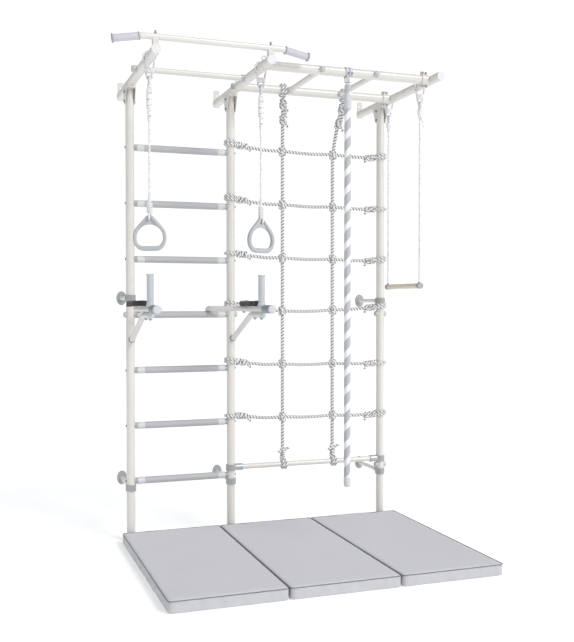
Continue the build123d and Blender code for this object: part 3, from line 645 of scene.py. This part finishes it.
def make_net(m):
    for row in range(6):
        points = row_route(row)
        line = route(points)
        build = Build()
        add_tube(build, line, NET_R * 1.14, NET_LAY, sides=20, start=row * 0.37)
        name = f"net_row_{row + 1}"
        rope = build.object(name + "_rope", m["net"])
        knots = Build()
        seed = 11 + row * 7
        crossings = [line[np.abs(line[:, 0] - x).argmin()] for x in COLUMN_XS]
        for k, place in enumerate(crossings):
            crossing_knot(knots, place, seed + k)
        post_knot(knots, points[0], 1, seed + 3)
        post_knot(knots, points[-1], -1, seed + 4)
        tied = knots.object(name + "_knots", m["net_knot"])
        fit(rope, "frame", "net_rope", name)
        fit(tied, "frame", "net_rope", "net_knots")
    for side, top_x, x in zip(("left", "right"), COLUMN_TOP_XS, COLUMN_XS):
        points = column_route(top_x, x)
        line = route(points)
        build = Build()
        add_tube(build, line, NET_R * 1.26, NET_LAY, sides=20, start=0.2)
        rope = build.object(f"net_column_{side}_rope", m["net"])
        knots = Build()
        column_knots(knots, line, top_x, x, 91 if side == "left" else 97)
        tied = knots.object(f"net_column_{side}_knots", m["net_knot"])
        fit(rope, "frame", "net_rope", f"net_column_{side}")
        fit(tied, "frame", "net_rope", "net_knots")


# ---------------------------------------------------------------- rings and trapeze
EYE_Z = 2.166
CROWN_ABOVE_HOLE = 0.0215
SLING_TOP, SLING_FOOT = POST_R + TACKLE_R + 0.001, 0.011
SMALL_BRAID = braid(8, 0.045, 0.14)
FINE_BRAID = braid(12, 0.05, 0.08)


def sling_line(x, y):
    """Centreline of a rope loop that hangs from an arm, from the arm's crown round and back."""
    foot_z = EYE_Z + SLING_FOOT
    over = arc((x, y, ARM_Z), SLING_TOP, (1, 0, 0), (0, 0, 1), 0.25, 0.5, 16)
    under = arc((x, y, foot_z), SLING_FOOT, (1, 0, 0), (0, 0, 1), 0.5, 1.0, 20)
    back = arc((x, y, ARM_Z), SLING_TOP, (1, 0, 0), (0, 0, 1), 0.0, 0.2495, 16)
    return np.concatenate([over, under, back])


def make_sling(m, name, body, x, y, node):
    """One sling, lashed just under the arm's sides as the loop closes to its foot."""
    line = sling_line(x, y)
    build = Build()
    add_tube(build, line, TACKLE_R * 0.98, SMALL_BRAID, sides=16, step=0.002)
    rope = build.object(name, m["eye"])
    lash = Build()
    for k in range(4):
        centre = (x, y, EYE_Z + 0.030 + 0.0052 * k)
        wind = arc(centre, 0.0175 + 0.0009 * k, (1, 0, 0), (0, 0.36, 0), 0, 1, 40)
        add_tube(lash, wind, 0.0028, SMALL_BRAID, sides=10, step=0.002, closed=True)
    bound = lash.object(name + "_lashing", m["tackle"])
    for piece in (rope, bound):
        fit(piece, body, "tackle_rope", node)


def eye_and_sleeve(build, sleeve, x, y, sleeve_end, tail):
    """Spliced eye linked through the sling, its doubled neck, and the thick sleeve below."""
    eye = [(0, 0.0, -0.030), (0, 0.004, -0.020), (0, 0.0128, -0.004), (0, 0.0118, 0.010), (0, 0.0, 0.0165),
           (0, -0.0118, 0.010), (0, -0.0128, -0.004), (0, -0.004, -0.020), (0, 0.0, -0.030)]
    line = route([(x + a, y + b, EYE_Z - 0.002 + c) for a, b, c in eye])
    add_tube(build, line, 0.0046, SMALL_BRAID, sides=14, step=0.002)
    top = EYE_Z - 0.016
    length = top - sleeve_end

    def girth(s):
        places = np.array((0.0, 0.10, 0.22, 0.60, 0.68, 0.95, 1.0)) * length
        return np.interp(s, places, (0.0075, 0.0100, 0.0132, 0.0132, 0.0085, 0.0078, 0.0060))

    add_tube(sleeve, [(x, y, top), (x, y, (top + sleeve_end) / 2), (x, y, sleeve_end)], girth, FINE_BRAID,
             sides=24, step=0.0022)
    if tail:
        end = [(x + 0.004, y - 0.004, sleeve_end + 0.01), (x + 0.010, y - 0.008, sleeve_end - 0.014),
               (x + 0.018, y - 0.010, sleeve_end - 0.040)]
        add_tube(sleeve, route(end), lambda s: 0.0042 - 0.035 * s, SMALL_BRAID, sides=12, step=0.002)


def make_tackle_rope(m, name, node, body, top, low, build_eye, build_sleeve, splice_node, extra):
    """A straight rope under load with its spliced ends."""
    x, y = top[0], top[1]
    line = route([top, (x, y, (top[2] + low) / 2), (x, y, low)])
    build = Build()
    add_tube(build, line, TACKLE_R * 0.97, SMALL_BRAID, sides=16, step=0.0025)
    rope = build.object(name, m["tackle"])
    eye = build_eye.object(name + "_eye", m["eye"])
    sleeve = build_sleeve.object(name + "_sleeve", m["tackle"])
    fit(rope, body, "tackle_rope", node)
    for piece in (eye, sleeve, *extra):
        fit(piece, body, "tackle_rope", splice_node)


def make_rings(m):
    turns = {"left": -19.5, "right": 19.0}
    for side, x in (("left", X_LEFT), ("right", X_MID)):
        name = side + "_ring"
        make_sling(m, name + "_sling_rope", name + "_sling", x, RING_Y, name + "_sling")
        hole_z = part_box(name)[1].z - CROWN_ABOVE_HOLE
        eye, sleeve = Build(), Build()
        eye_and_sleeve(eye, sleeve, x, RING_Y, EYE_Z - 0.194, False)
        whip = Build()
        neck = [(x, RING_Y, hole_z + h) for h in (0.112, 0.085, 0.030)]
        add_tube(whip, neck, lambda s: np.interp(s, (0, 0.006, 0.03, 0.08), (0.0052, 0.0070, 0.0078, 0.0072)),
                 FINE_BRAID, sides=20, step=0.002)
        wound = helix((x, RING_Y, hole_z + 0.0520), UP, 0.0092, 0.0092, 5, phase=0.4)
        add_tube(whip, wound, 0.0046, SMALL_BRAID, sides=14, step=0.002)
        turn = math.radians(turns[side])
        across = np.array((-math.sin(turn), math.cos(turn), 0.0))
        loop = [(0.0, 0.034), (0.006, 0.031), (0.0158, 0.026), (0.0180, 0.012), (0.0125, 0.0), (0.0, -0.0015),
                (-0.0125, 0.0), (-0.0180, 0.012), (-0.0158, 0.026), (-0.006, 0.031), (0.0, 0.034)]
        centre = np.array((x, RING_Y, hole_z))
        line = route([tuple(centre + across * a + UP * b) for a, b in loop])
        add_tube(eye, line, 0.0043, SMALL_BRAID, sides=14, step=0.002)
        wrapped = whip.object(name + "_whipping", m["whipping"])
        rope_top = (x, RING_Y, EYE_Z - 0.024)
        make_tackle_rope(m, name + "_cord", name + "_rope", name, rope_top, hole_z + 0.040, eye, sleeve,
                         name + "_splices", [wrapped])


def make_trapeze(m):
    bar_low, bar_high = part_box("trapeze_bar")
    z = (bar_low.z + bar_high.z) / 2
    for side in ("front", "rear"):
        node = "trapeze_rope_" + side
        y = middle(node).y
        make_sling(m, f"trapeze_{side}_sling_rope", "trapeze", X_RIGHT, y, "trapeze_splices")
        eye, sleeve = Build(), Build()
        eye_and_sleeve(eye, sleeve, X_RIGHT, y, EYE_Z - 0.072, side == "front")
        grommet = turned(f"trapeze_{side}_grommet", m["grey"], (X_RIGHT, y, z + 0.0135), (0, 0, 1), [
            (0, 0.0066), (0.0012, 0.0072), (0.003, 0.0070), (0.0042, 0.0058)], sides=24)
        make_tackle_rope(m, f"trapeze_{side}_cord", node, "trapeze", (X_RIGHT, y, EYE_Z - 0.024), z - 0.004, eye,
                         sleeve, "trapeze_splices", [grommet])


# ---------------------------------------------------------------- climbing rope
def make_climbing_rope(m):
    x, y = CLIMB_X, CLIMB_Y
    top, low = 2.200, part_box("climbing_rope")[0].z + 0.002
    boot_top, boot_low = 2.205, 2.088
    line = route([(x, y, top), (x, y, (top + low) / 2), (x, y, low)])
    build, band, stitch = Build(), Build(), Build()
    add_tube(build, line, 0.0152, laid(5, 0.085, 0.10), sides=50, step=0.0035)
    rope = build.object("climbing_rope_laid", m["climb"])
    boot = turned("climbing_rope_boot", m["light_grey"], (x, y, boot_low), (0, 0, 1), [
        (0.0, 0.0152), (0.0015, 0.0172), (0.006, 0.0176), (0.045, 0.0172), (0.065, 0.0160), (0.085, 0.0142),
        (0.104, 0.0136), (0.112, 0.0120), (boot_top - boot_low, 0.0095)])
    cap_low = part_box("climbing_rope_ends")[0].z
    end_cap = turned("climbing_rope_end_cap", m["collar"], (x, y, cap_low), (0, 0, 1), [
        (0.0, 0.0095), (0.0012, 0.0132), (0.004, 0.0156), (0.008, 0.0163), (0.030, 0.0165), (0.040, 0.0163),
        (0.046, 0.0158), (0.047, 0.0150)])
    hanger_band(band, x, y)
    hanger = band.object("climbing_rope_hanger_webbing", m["sling_web"])
    for k in range(4):
        wind = arc((x, y, 2.2310 - 0.0052 * k), 0.0135, (1, 0, 0), (0, 1.02, 0), 0, 1, 40)
        add_tube(stitch, wind, 0.0032, coiled(0.004, 0.08), sides=10, step=0.002, closed=True)
    bound = stitch.object("climbing_rope_hanger_lashing", m["eye"])
    fit(rope, "climbing_rope", "climb_rope", "climbing_rope")
    for piece in (boot, end_cap):
        fit(piece, "climbing_rope", "light_plastic", "climbing_rope_ends")
    for piece in (hanger, bound):
        fit(piece, "climbing_rope_hanger", "tackle_rope", "climbing_rope_hanger")


def hanger_band(build, x, y):
    """Two flat webbing loops side by side over the front beam, drawn together under it."""
    foot_z = 2.229
    top = POST_R + 0.0022
    over = arc((0, y, ARM_Z), top, (0, 1, 0), (0, 0, 1), -0.04, 0.54, 40)
    under = arc((0, y, foot_z), 0.0105, (0, 1, 0), (0, 0, 1), 0.54, 0.96, 20)
    loop = np.concatenate([over, under])
    loop, _ = spaced(np.vstack([loop, loop[:1]]), 0.003)
    loop = loop[:-1]
    for offset in (-0.0095, 0.0095):
        flat_band(build, loop, x + offset, 0.0085, 0.0022)


def flat_band(build, loop, x, half, thick):
    """Closed flat strap: loop gives y and z, the width lies along X."""
    centre = loop.mean(axis=0)
    run = np.roll(loop, -1, axis=0) - np.roll(loop, 1, axis=0)
    run /= np.linalg.norm(run, axis=1)[:, None]
    out = np.cross(run, np.array((1.0, 0.0, 0.0)))
    if ((loop - centre) * out).sum() < 0:
        out = -out
    corners = [(-half, 0.15), (-half * 0.82, 0.5), (half * 0.82, 0.5), (half, 0.15), (half, -0.15),
               (half * 0.82, -0.5), (-half * 0.82, -0.5), (-half, -0.15)]
    count, ring = len(loop), len(corners)
    points, faces, uv = [], [], []
    pull = np.clip((ARM_Z - 0.012 - loop[:, 2]) / 0.02, 0, 1)[:, None]
    for cx, cz in corners:
        narrow = 1 - 0.35 * pull[:, 0]
        p = loop + out * (thick * cz)
        p[:, 0] = x + cx * narrow + (0.0085 * -np.sign(x - CLIMB_X) * pull[:, 0])
        points.append(p)
    points = np.stack(points, axis=1).reshape(-1, 3)
    for i in range(count):
        n = (i + 1) % count
        for j in range(ring):
            k = (j + 1) % ring
            faces.append((i * ring + j, n * ring + j, n * ring + k, i * ring + k))
            uv += [(i * 0.003, j / ring), ((i + 1) * 0.003, j / ring), ((i + 1) * 0.003, (j + 1) / ring),
                   (i * 0.003, (j + 1) / ring)]
    build.add(points, faces, uv)


# ---------------------------------------------------------------- grips and collars
def make_rung_covers(m):
    """Fluted grips with ribbed white collars over the rung tubes."""
    grips, collars, sleeves = Build(), Build(), Build()
    x0, x1 = X_LEFT + POST_R, X_MID - POST_R
    low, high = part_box("rung_grips")
    grip_r, rungs, ribs_each = 0.01675, 7, 5
    start, end = low.x, high.x
    span = end - start
    for i in range(rungs):
        z = low.z + grip_r + (high.z - low.z - 2 * grip_r) / (rungs - 1) * i
        grip = [(0, 0.0155), (0.0008, 0.0163), (0.003, 0.0167, 0.2), (0.008, 0.0168, 1)]
        grip += [(span * t, 0.0168 + 0.0002 * math.sin(math.pi * t), 1) for t in (0.15, 0.3, 0.5, 0.7, 0.85)]
        grip += [(span - 0.008, 0.0168, 1), (span - 0.003, 0.0167, 0.2), (span - 0.0008, 0.0163), (span, 0.0155)]
        add_lathe(grips, (start, Y_POST, z), (1, 0, 0), grip, sides=96, flutes=24, flute_depth=0.0007)
        for a, b in ((x0 + 0.012, start), (end, x1 - 0.012)):
            ribs = [(0, 0.0150), (0.0006, 0.0168)]
            half = (b - a) / ribs_each / 2
            for k in range(ribs_each):
                at = half * (2 * k + 1)
                ribs += [(at - half * 0.72, 0.0168), (at - half * 0.45, 0.0175), (at + half * 0.45, 0.0175),
                         (at + half * 0.72, 0.0168)]
            ribs += [(b - a - 0.0006, 0.0168), (b - a, 0.0150)]
            add_lathe(collars, (a, Y_POST, z), (1, 0, 0), ribs, sides=40)
    objects = ((grips, "rung_grip_covers", "grip", "rung_grips", "rung_grip"),
               (collars, "rung_collar_covers", "collar", "rung_collars", "rung_collar"))
    for build, name, finish, node, slot in objects:
        fit(build.object(name, m[finish]), "frame", slot, node)


def make_pull_up_grips(m):
    """Ribbed rubber grips with dark flanges on the bar's drooped ends."""
    low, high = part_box("pull_up_grips")
    centre_x = (low.x + high.x) / 2
    y, z = middle("pull_up_saddles").y - 0.001, 2.312
    for side, way in (("left", -1), ("right", 1)):
        bend = np.array((centre_x + way * 0.309, y, z))
        tip = bend + np.array((way * 0.1294, 0.013, -0.020))
        run = bend - tip
        grip, flange = Build(), Build()
        ribs = [(0.002, 0.0150), (0.004, 0.0158)]
        for k in range(18):
            at = 0.006 + 0.0058 * k
            ribs += [(at, 0.0155), (at + 0.0012, 0.0163), (at + 0.0040, 0.0163), (at + 0.0052, 0.0155)]
        ribs += [(0.111, 0.0158), (0.112, 0.0150)]
        add_lathe(grip, tip, run, ribs, sides=40)
        add_lathe(flange, tip, run, [(-0.0025, 0.0120), (-0.0025, 0.0188), (-0.0012, 0.0203), (0.002, 0.0205),
                                     (0.0036, 0.0198), (0.0042, 0.0160)], sides=40)
        add_lathe(flange, tip, run, [(0.1105, 0.0150), (0.111, 0.0178), (0.113, 0.0182), (0.115, 0.0180),
                                     (0.116, 0.0150)], sides=40)
        for build, name, finish in ((grip, "grip", "pull_grip"), (flange, "grip_flanges", "grey")):
            fit(build.object(f"pull_up_{side}_{name}", m[finish]), "frame", "rung_grip", "pull_up_grips")


def hex_nut(build, centre, axis, across, height):
    """Nut with chamfered corners and the bolt's round tip."""
    add_lathe(build, centre, axis, [(0, across * 0.90), (height * 0.12, across), (height * 0.88, across),
                                    (height, across * 0.90)], sides=6)
    add_lathe(build, centre, axis, [(height * 0.5, across * 0.52), (height * 1.35, across * 0.50),
                                    (height * 1.5, across * 0.38)], sides=16)


def make_dip_details(m):
    """Grips, end caps, strap and fixings of each dip arm."""
    along_y, along_z, down = (0, 1, 0), (0, 0, 1), (0, 0, -1)
    for side, x, way in (("left", X_LEFT, 1), ("right", X_MID, -1)):
        body = side + "_dip"
        low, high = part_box(side + "_dip_grips")
        arm_z, front_y, length = low.z + 0.019, low.y, 0.114
        handle_y, brace_z = front_y + 0.161, arm_z - 0.0276
        foot_z, foot_y = 1.004, Y_POST - 0.052
        bottom = arm_z + 0.012
        tall = high.z - bottom
        foot = turned(body + "_foot_cap", m["light_grey"], (x, foot_y, foot_z), along_y, [
            (0, 0.0095), (0.0008, 0.0122), (0.003, 0.0132), (0.006, 0.0134)], sides=40)
        rim = turned(body + "_foot_rim", m["rubber"], (x, foot_y + 0.0015, foot_z), along_y, [
            (0, 0.0130), (0.0006, 0.0146), (0.0025, 0.0156), (0.010, 0.0158), (0.0115, 0.0150)], sides=40)
        sleeve = turned(body + "_front_sleeve", m["sleeve"], (x, front_y, arm_z), along_y, [
            (0.004, 0.0178), (0.006, 0.0186, 0.5), (0.012, 0.0188, 1), (length - 0.012, 0.0188, 1),
            (length - 0.004, 0.0186, 0.4), (length - 0.001, 0.0178), (length, 0.0150)],
            sides=80, flutes=20, flute_depth=0.0008)
        cap = turned(body + "_front_cap", m["light_grey"], (x, front_y, arm_z), along_y, [
            (0.0, 0.0120), (0.0004, 0.0150), (0.0018, 0.0176), (0.004, 0.0188), (0.009, 0.0191), (0.0105, 0.0184)],
            sides=48)
        handle = turned(body + "_handle", m["handle"], (x, handle_y, bottom), along_z, [
            (0.0, 0.0162), (0.003, 0.0175), (0.012, 0.0176), (0.0145, 0.0160), (0.017, 0.0148, 0.3),
            (0.024, 0.0147, 1), (0.060, 0.0152, 1), (0.095, 0.0154, 1), (tall - 0.016, 0.0147, 1),
            (tall - 0.010, 0.0150), (tall - 0.007, 0.0176), (tall - 0.004, 0.0180), (tall - 0.0015, 0.0172),
            (tall, 0.0140)], sides=80, flutes=20, flute_depth=0.0008)
        fixings = Build()
        for dy in (0.0, 0.100):
            hex_nut(fixings, (x, handle_y + dy, brace_z - 0.0132), down, 0.0085, 0.006)
        add_lathe(fixings, (x, Y_POST - 0.119, arm_z + 0.0128), along_z, [
            (0, 0.0065), (0.002, 0.0062), (0.0045, 0.0040)], sides=20)
        hex_nut(fixings, (x, Y_POST - 0.237, arm_z - 0.0130), down, 0.0075, 0.0055)
        nuts = fixings.object(body + "_nuts", m["grey"], smooth=False)
        tip = turned(body + "_brace_cap", m["light_grey"], (x, handle_y - 0.0265, brace_z), along_y, [
            (0, 0.0100), (0.0012, 0.0132), (0.004, 0.0139), (0.012, 0.0139), (0.0125, 0.0130)], sides=40)
        for piece in (sleeve, cap, handle):
            fit(piece, body, "light_plastic", side + "_dip_grips")
        for piece, slot in ((foot, "light_plastic"), (rim, "grey_plastic"), (nuts, "bolt_steel"),
                            (tip, "light_plastic")):
            fit(piece, body, slot)
        make_strap(m, side, body, way)


def make_plug(m):
    """Moulded plug on the middle arm, opposite the end of the rear beam."""
    plug = turned("rear_beam_plug", m["grey"], (X_MID - POST_R + 0.003, REAR_BEAM_Y, ARM_Z), (-1, 0, 0), [
        (0, 0.0150), (0.010, 0.0152), (0.013, 0.0146), (0.015, 0.0128), (0.0155, 0.0100)], sides=36)
    fit(plug, "frame", "grey_plastic")


def make_strap(m, side, body, way):
    """Forearm loop of black webbing with a soft lining and a square buckle."""
    node = side + "_dip_strap"
    low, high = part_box(node)
    centre = (low + high) / 2
    half_x, half_y = (high.x - low.x) / 2 - 0.003, (high.y - low.y) / 2 - 0.003
    height, count = (high.z - low.z) / 2 - 0.001, 140
    t = np.arange(count) / count
    c, s = np.cos(TAU * t), np.sin(TAU * t)
    wobble = 0.0025 * np.sin(TAU * 3 * t + 1.1) + 0.0015 * np.sin(TAU * 7 * t)
    px = centre.x + (half_x + wobble) * np.sign(c) * np.abs(c) ** 0.9
    py = centre.y + (half_y - 0.001 + wobble * 0.3) * np.sign(s) * np.abs(s) ** 0.95
    line = np.stack([px, py, np.full(count, centre.z)], axis=1)
    run = np.roll(line, -1, axis=0) - np.roll(line, 1, axis=0)
    run /= np.linalg.norm(run, axis=1)[:, None]
    out = np.cross(run, UP)
    lift = 0.001 - 0.005 * np.abs(c) ** 1.5

    def ribbon(inner, outer, half, crown):
        build = Build()
        sections = [(inner, -half + 0.001), (inner - crown, -half * 0.4), (inner - crown, half * 0.4),
                    (inner, half - 0.001), ((inner + outer) / 2, half), (outer, half - 0.001),
                    (outer + crown, half * 0.4), (outer + crown, -half * 0.4), (outer, -half + 0.001),
                    ((inner + outer) / 2, -half)]
        n = len(sections)
        points = np.stack([line + out * d + UP * h for d, h in sections], axis=1)
        points[:, :, 2] += lift[:, None]
        faces, uv = [], []
        for i in range(count):
            k = (i + 1) % count
            for j in range(n):
                q = (j + 1) % n
                faces.append((i * n + j, i * n + q, k * n + q, k * n + j))
                uv += [(i / count, j / n), (i / count, (j + 1) / n), ((i + 1) / count, (j + 1) / n),
                       ((i + 1) / count, j / n)]
        build.add(points.reshape(-1, 3), faces, uv)
        return build

    strap = ribbon(0.0002, 0.0026, height, 0.0006).object(node + "_webbing", m["web"])
    lining = ribbon(-0.0030, -0.0002, height - 0.002, 0.0010).object(node + "_lining", m["lining"])
    buckle = Build()
    index = int(count * (0.93 if way > 0 else 0.57))
    spot, along, away = line[index], run[index], out[index]
    corners = [(-0.013, -height * 1.02), (0.013, -height * 1.02), (0.013, height * 1.02), (-0.013, height * 1.02)]
    loop = [tuple(spot + along * a + UP * b + away * 0.0046) for a, b in corners]
    loop.append(loop[0])
    add_tube(buckle, np.array(loop), 0.0018, sides=10, step=0.0015)
    clasp = buckle.object(node + "_buckle", m["rubber"])
    patch = Build()
    for k in range(2):
        at = (index + 6 + 9 * k) % count
        seam = [line[at] + out[at] * 0.0036 + UP * h for h in (-height * 0.8, height * 0.8)]
        add_tube(patch, np.array([seam[0], (seam[0] + seam[1]) / 2, seam[1]]), 0.0006, sides=8, step=0.002)
    stitches = patch.object(node + "_stitching", m["lining"])
    for piece in (strap, lining, clasp, stitches):
        fit(piece, body, "webbing", node)


# ---------------------------------------------------------------- floor mat
CELL = 0.0125
MAT_CORNER = 0.016
MAT_MOVE_LIMIT = np.array((0.006, 0.007, 0.0055))


def box_grid(low, high, corner):
    """Closed box of even cells with rounded vertical corners, and the points along its seams."""
    nx, ny, nz = (max(2, round((high[k] - low[k]) / CELL)) for k in range(3))
    nz = max(4, nz)
    index, points, faces = {}, [], []

    def vertex(i, j, k):
        key = (i, j, k)
        if key not in index:
            index[key] = len(points)
            p = np.array([low[0] + (high[0] - low[0]) * i / nx, low[1] + (high[1] - low[1]) * j / ny,
                          low[2] + (high[2] - low[2]) * k / nz])
            centre, half = (low + high) / 2, (high - low) / 2
            q = np.abs(p - centre)[:2] - (half[:2] - corner)
            if q.min() > 0:
                q = q / np.linalg.norm(q) * q.max()
                p[:2] = centre[:2] + np.sign(p[:2] - centre[:2]) * (half[:2] - corner + q)
            points.append(p)
        return index[key]

    for i in range(nx):
        for j in range(ny):
            faces.append([vertex(i, j, nz), vertex(i + 1, j, nz), vertex(i + 1, j + 1, nz), vertex(i, j + 1, nz)])
            faces.append([vertex(i, j, 0), vertex(i, j + 1, 0), vertex(i + 1, j + 1, 0), vertex(i + 1, j, 0)])
    for i in range(nx):
        for k in range(nz):
            faces.append([vertex(i, 0, k), vertex(i + 1, 0, k), vertex(i + 1, 0, k + 1), vertex(i, 0, k + 1)])
            faces.append([vertex(i, ny, k), vertex(i, ny, k + 1), vertex(i + 1, ny, k + 1), vertex(i + 1, ny, k)])
    for j in range(ny):
        for k in range(nz):
            faces.append([vertex(0, j, k), vertex(0, j, k + 1), vertex(0, j + 1, k + 1), vertex(0, j + 1, k)])
            faces.append([vertex(nx, j, k), vertex(nx, j + 1, k), vertex(nx, j + 1, k + 1), vertex(nx, j, k + 1)])
    rim = [key for key in index if key[2] in (0, nz) and (key[0] in (0, nx) or key[1] in (0, ny))]
    return np.array(points), faces, [index[key] for key in rim]


def inflate(piece, rim):
    """Cloth under pressure, held along its seams, with a little spare cover so that it creases."""
    group = piece.vertex_groups.new(name="seams")
    group.add(rim, 1.0, "REPLACE")
    cloth = piece.modifiers.new("cover", "CLOTH")
    cloth.settings.quality = 6
    cloth.settings.mass = 0.25
    cloth.settings.tension_stiffness = 18
    cloth.settings.compression_stiffness = 18
    cloth.settings.shear_stiffness = 6
    cloth.settings.bending_stiffness = 0.35
    cloth.settings.vertex_group_mass = "seams"
    cloth.settings.use_pressure = True
    cloth.settings.uniform_pressure_force = 1.6
    cloth.settings.shrink_min = -0.022
    cloth.settings.effector_weights.gravity = 0
    cloth.collision_settings.use_collision = False
    scene, steps = bpy.context.scene, 20
    scene.frame_start, scene.frame_end = 1, steps + 4
    for step in range(1, steps + 1):
        scene.frame_set(step)
    shown = piece.evaluated_get(bpy.context.evaluated_depsgraph_get())
    moved = np.array([v.co for v in shown.data.vertices], float)
    piece.modifiers.remove(cloth)
    scene.frame_set(1)
    return moved


def make_mat(m):
    """Three padded sections with a crowned top, piping round it, and a near-black strip along the top of each gap
    where they meet, painted shade of the gap.
    """
    for name, outer in (("mat_left", -1), ("mat_middle", 0), ("mat_right", 1)):
        low, high = (np.array(v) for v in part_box(name))
        inset = np.array((0.0016, 0.004, 0.0))
        bottom, top = low + inset, high - inset
        bottom[2], top[2] = 0.0015, high[2] - 0.0050
        ground = 0.0008
        points, faces, rim = box_grid(bottom, top, MAT_CORNER)
        cover = mesh_object(name + "_cover", points, faces, m["mat"])
        cover.data.materials.append(m["mat_side"])
        moved = inflate(cover, rim)
        shift = np.clip(moved - points, -MAT_MOVE_LIMIT, MAT_MOVE_LIMIT)
        inner_edges = [(way, edge) for way, edge in ((-1, bottom[0]), (1, top[0])) if way != outer]
        for way, edge in inner_edges:
            beside = np.abs(points[:, 0] - edge) < 0.02
            shift[beside & (shift[:, 0] * way > 0), 0] = 0
        placed = points + shift
        placed[:, 2] += pillow(points, bottom, top) * 0.0018 * (points[:, 2] > top[2] - 0.001)
        placed[:, 2] = np.clip(placed[:, 2], ground, high[2] - 0.0006)
        under = points[:, 2] < bottom[2] + 0.001
        placed[under, 2] = np.clip(placed[under, 2], ground, 0.004)
        cover.data.vertices.foreach_set("co", placed.ravel())
        # Upright faces take the darker copy of the cover, painted shade on the mat's sides.
        side = [1 if abs(p.normal.z) < 0.5 else 0 for p in cover.data.polygons]
        cover.data.polygons.foreach_set("material_index", side)
        cover.data.update()
        smooth = cover.modifiers.new("smooth", "SUBSURF")
        smooth.levels = smooth.render_levels = 1
        fit(cover, name, "mat_cover", name)
        piping, gap_shade = Build(), Build()
        add_tube(piping, rim_line(bottom, top, MAT_CORNER, top[2] + 0.0004), 0.0019, sides=10, step=0.006,
                 closed=True, first=(0, 0, 1))
        # A near-black tube along each inner edge paints the shade in the gap between sections.
        for _, edge in inner_edges:
            line = [(edge, y, top[2] - 0.001) for y in (bottom[1] + 0.012, 0, top[1] - 0.012)]
            add_tube(gap_shade, line, 0.0024, sides=10, step=0.02)
        fit(piping.object(name + "_piping", m["piping"]), name, "mat_cover")
        fit(gap_shade.object(name + "_gap_painted_shade", m["seam"]), name, "mat_cover")


def pillow(points, low, high):
    """How far a point of the top lies from the seams, from 0 at a seam to 1 over most of the panel."""
    edge = np.minimum.reduce([points[:, 0] - low[0], high[0] - points[:, 0], points[:, 1] - low[1],
                              high[1] - points[:, 1]])
    return np.sqrt(np.clip(edge / 0.09, 0, 1))


def rim_line(low, high, corner, z):
    """Rounded rectangle at a height."""
    line = []
    for cx, cy, start in ((high[0] - corner, high[1] - corner, 0.0), (low[0] + corner, high[1] - corner, 0.25),
                          (low[0] + corner, low[1] + corner, 0.5), (high[0] - corner, low[1] + corner, 0.75)):
        line.append(arc((cx, cy, z), corner, (1, 0, 0), (0, 1, 0), start, start + 0.25, 10))
    line = np.concatenate(line)
    return np.vstack([line, line[:1]])


# ---------------------------------------------------------------- finishes of the CAD nodes
def two_finishes(node, beyond, rest, axis, limit):
    """One CAD node whose faces beyond a limit along an axis have another finish."""
    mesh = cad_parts[node].data
    mesh.materials.clear()
    mesh.materials.append(rest)
    mesh.materials.append(beyond)
    mesh.polygons.foreach_set("material_index", [1 if p.center[axis] > limit else 0 for p in mesh.polygons])


def finish_nodes(m):
    finishes = {
        "ivory": ["lower_posts", "upper_posts", "overhead_arms", "wall_plates", "arm_saddles", "front_beam",
                  "rear_beam", "overhead_rungs", "ladder_top_bar", "pull_up_bar", "pull_up_saddles", "net_bar"],
        # The dip arms and braces take the darker copy of the ivory, painted shade.
        "dip_shaded_ivory": ["left_dip_arm", "left_dip_brace", "right_dip_arm", "right_dip_brace"],
        "steel": ["post_spigots", "rung_tubes"],
        "grey": ["post_feet", "rung_sleeves", "trapeze_bar_caps"],
        "knob": ["end_knobs"],
        "cap": ["arm_end_caps"],
        "bolt": ["frame_bolts"],
        "ring": ["left_ring", "right_ring"],
        "wood": ["trapeze_bar"],
    }
    for finish, nodes in finishes.items():
        for node in nodes:
            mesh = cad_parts[node].data
            mesh.materials.clear()
            mesh.materials.append(m[finish])
    two_finishes("tube_clamps", m["ivory"], m["clamp"], 2, 2.2)
    two_finishes("wall_stays", m["grey"], m["ivory"], 1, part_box("wall_stays")[1].y - 0.0078)


make_camera()
make_studio()
materials = make_materials()
finish_nodes(materials)
make_net(materials)
make_rings(materials)
make_trapeze(materials)
make_climbing_rope(materials)
make_rung_covers(materials)
make_pull_up_grips(materials)
make_dip_details(materials)
make_plug(materials)
make_mat(materials)
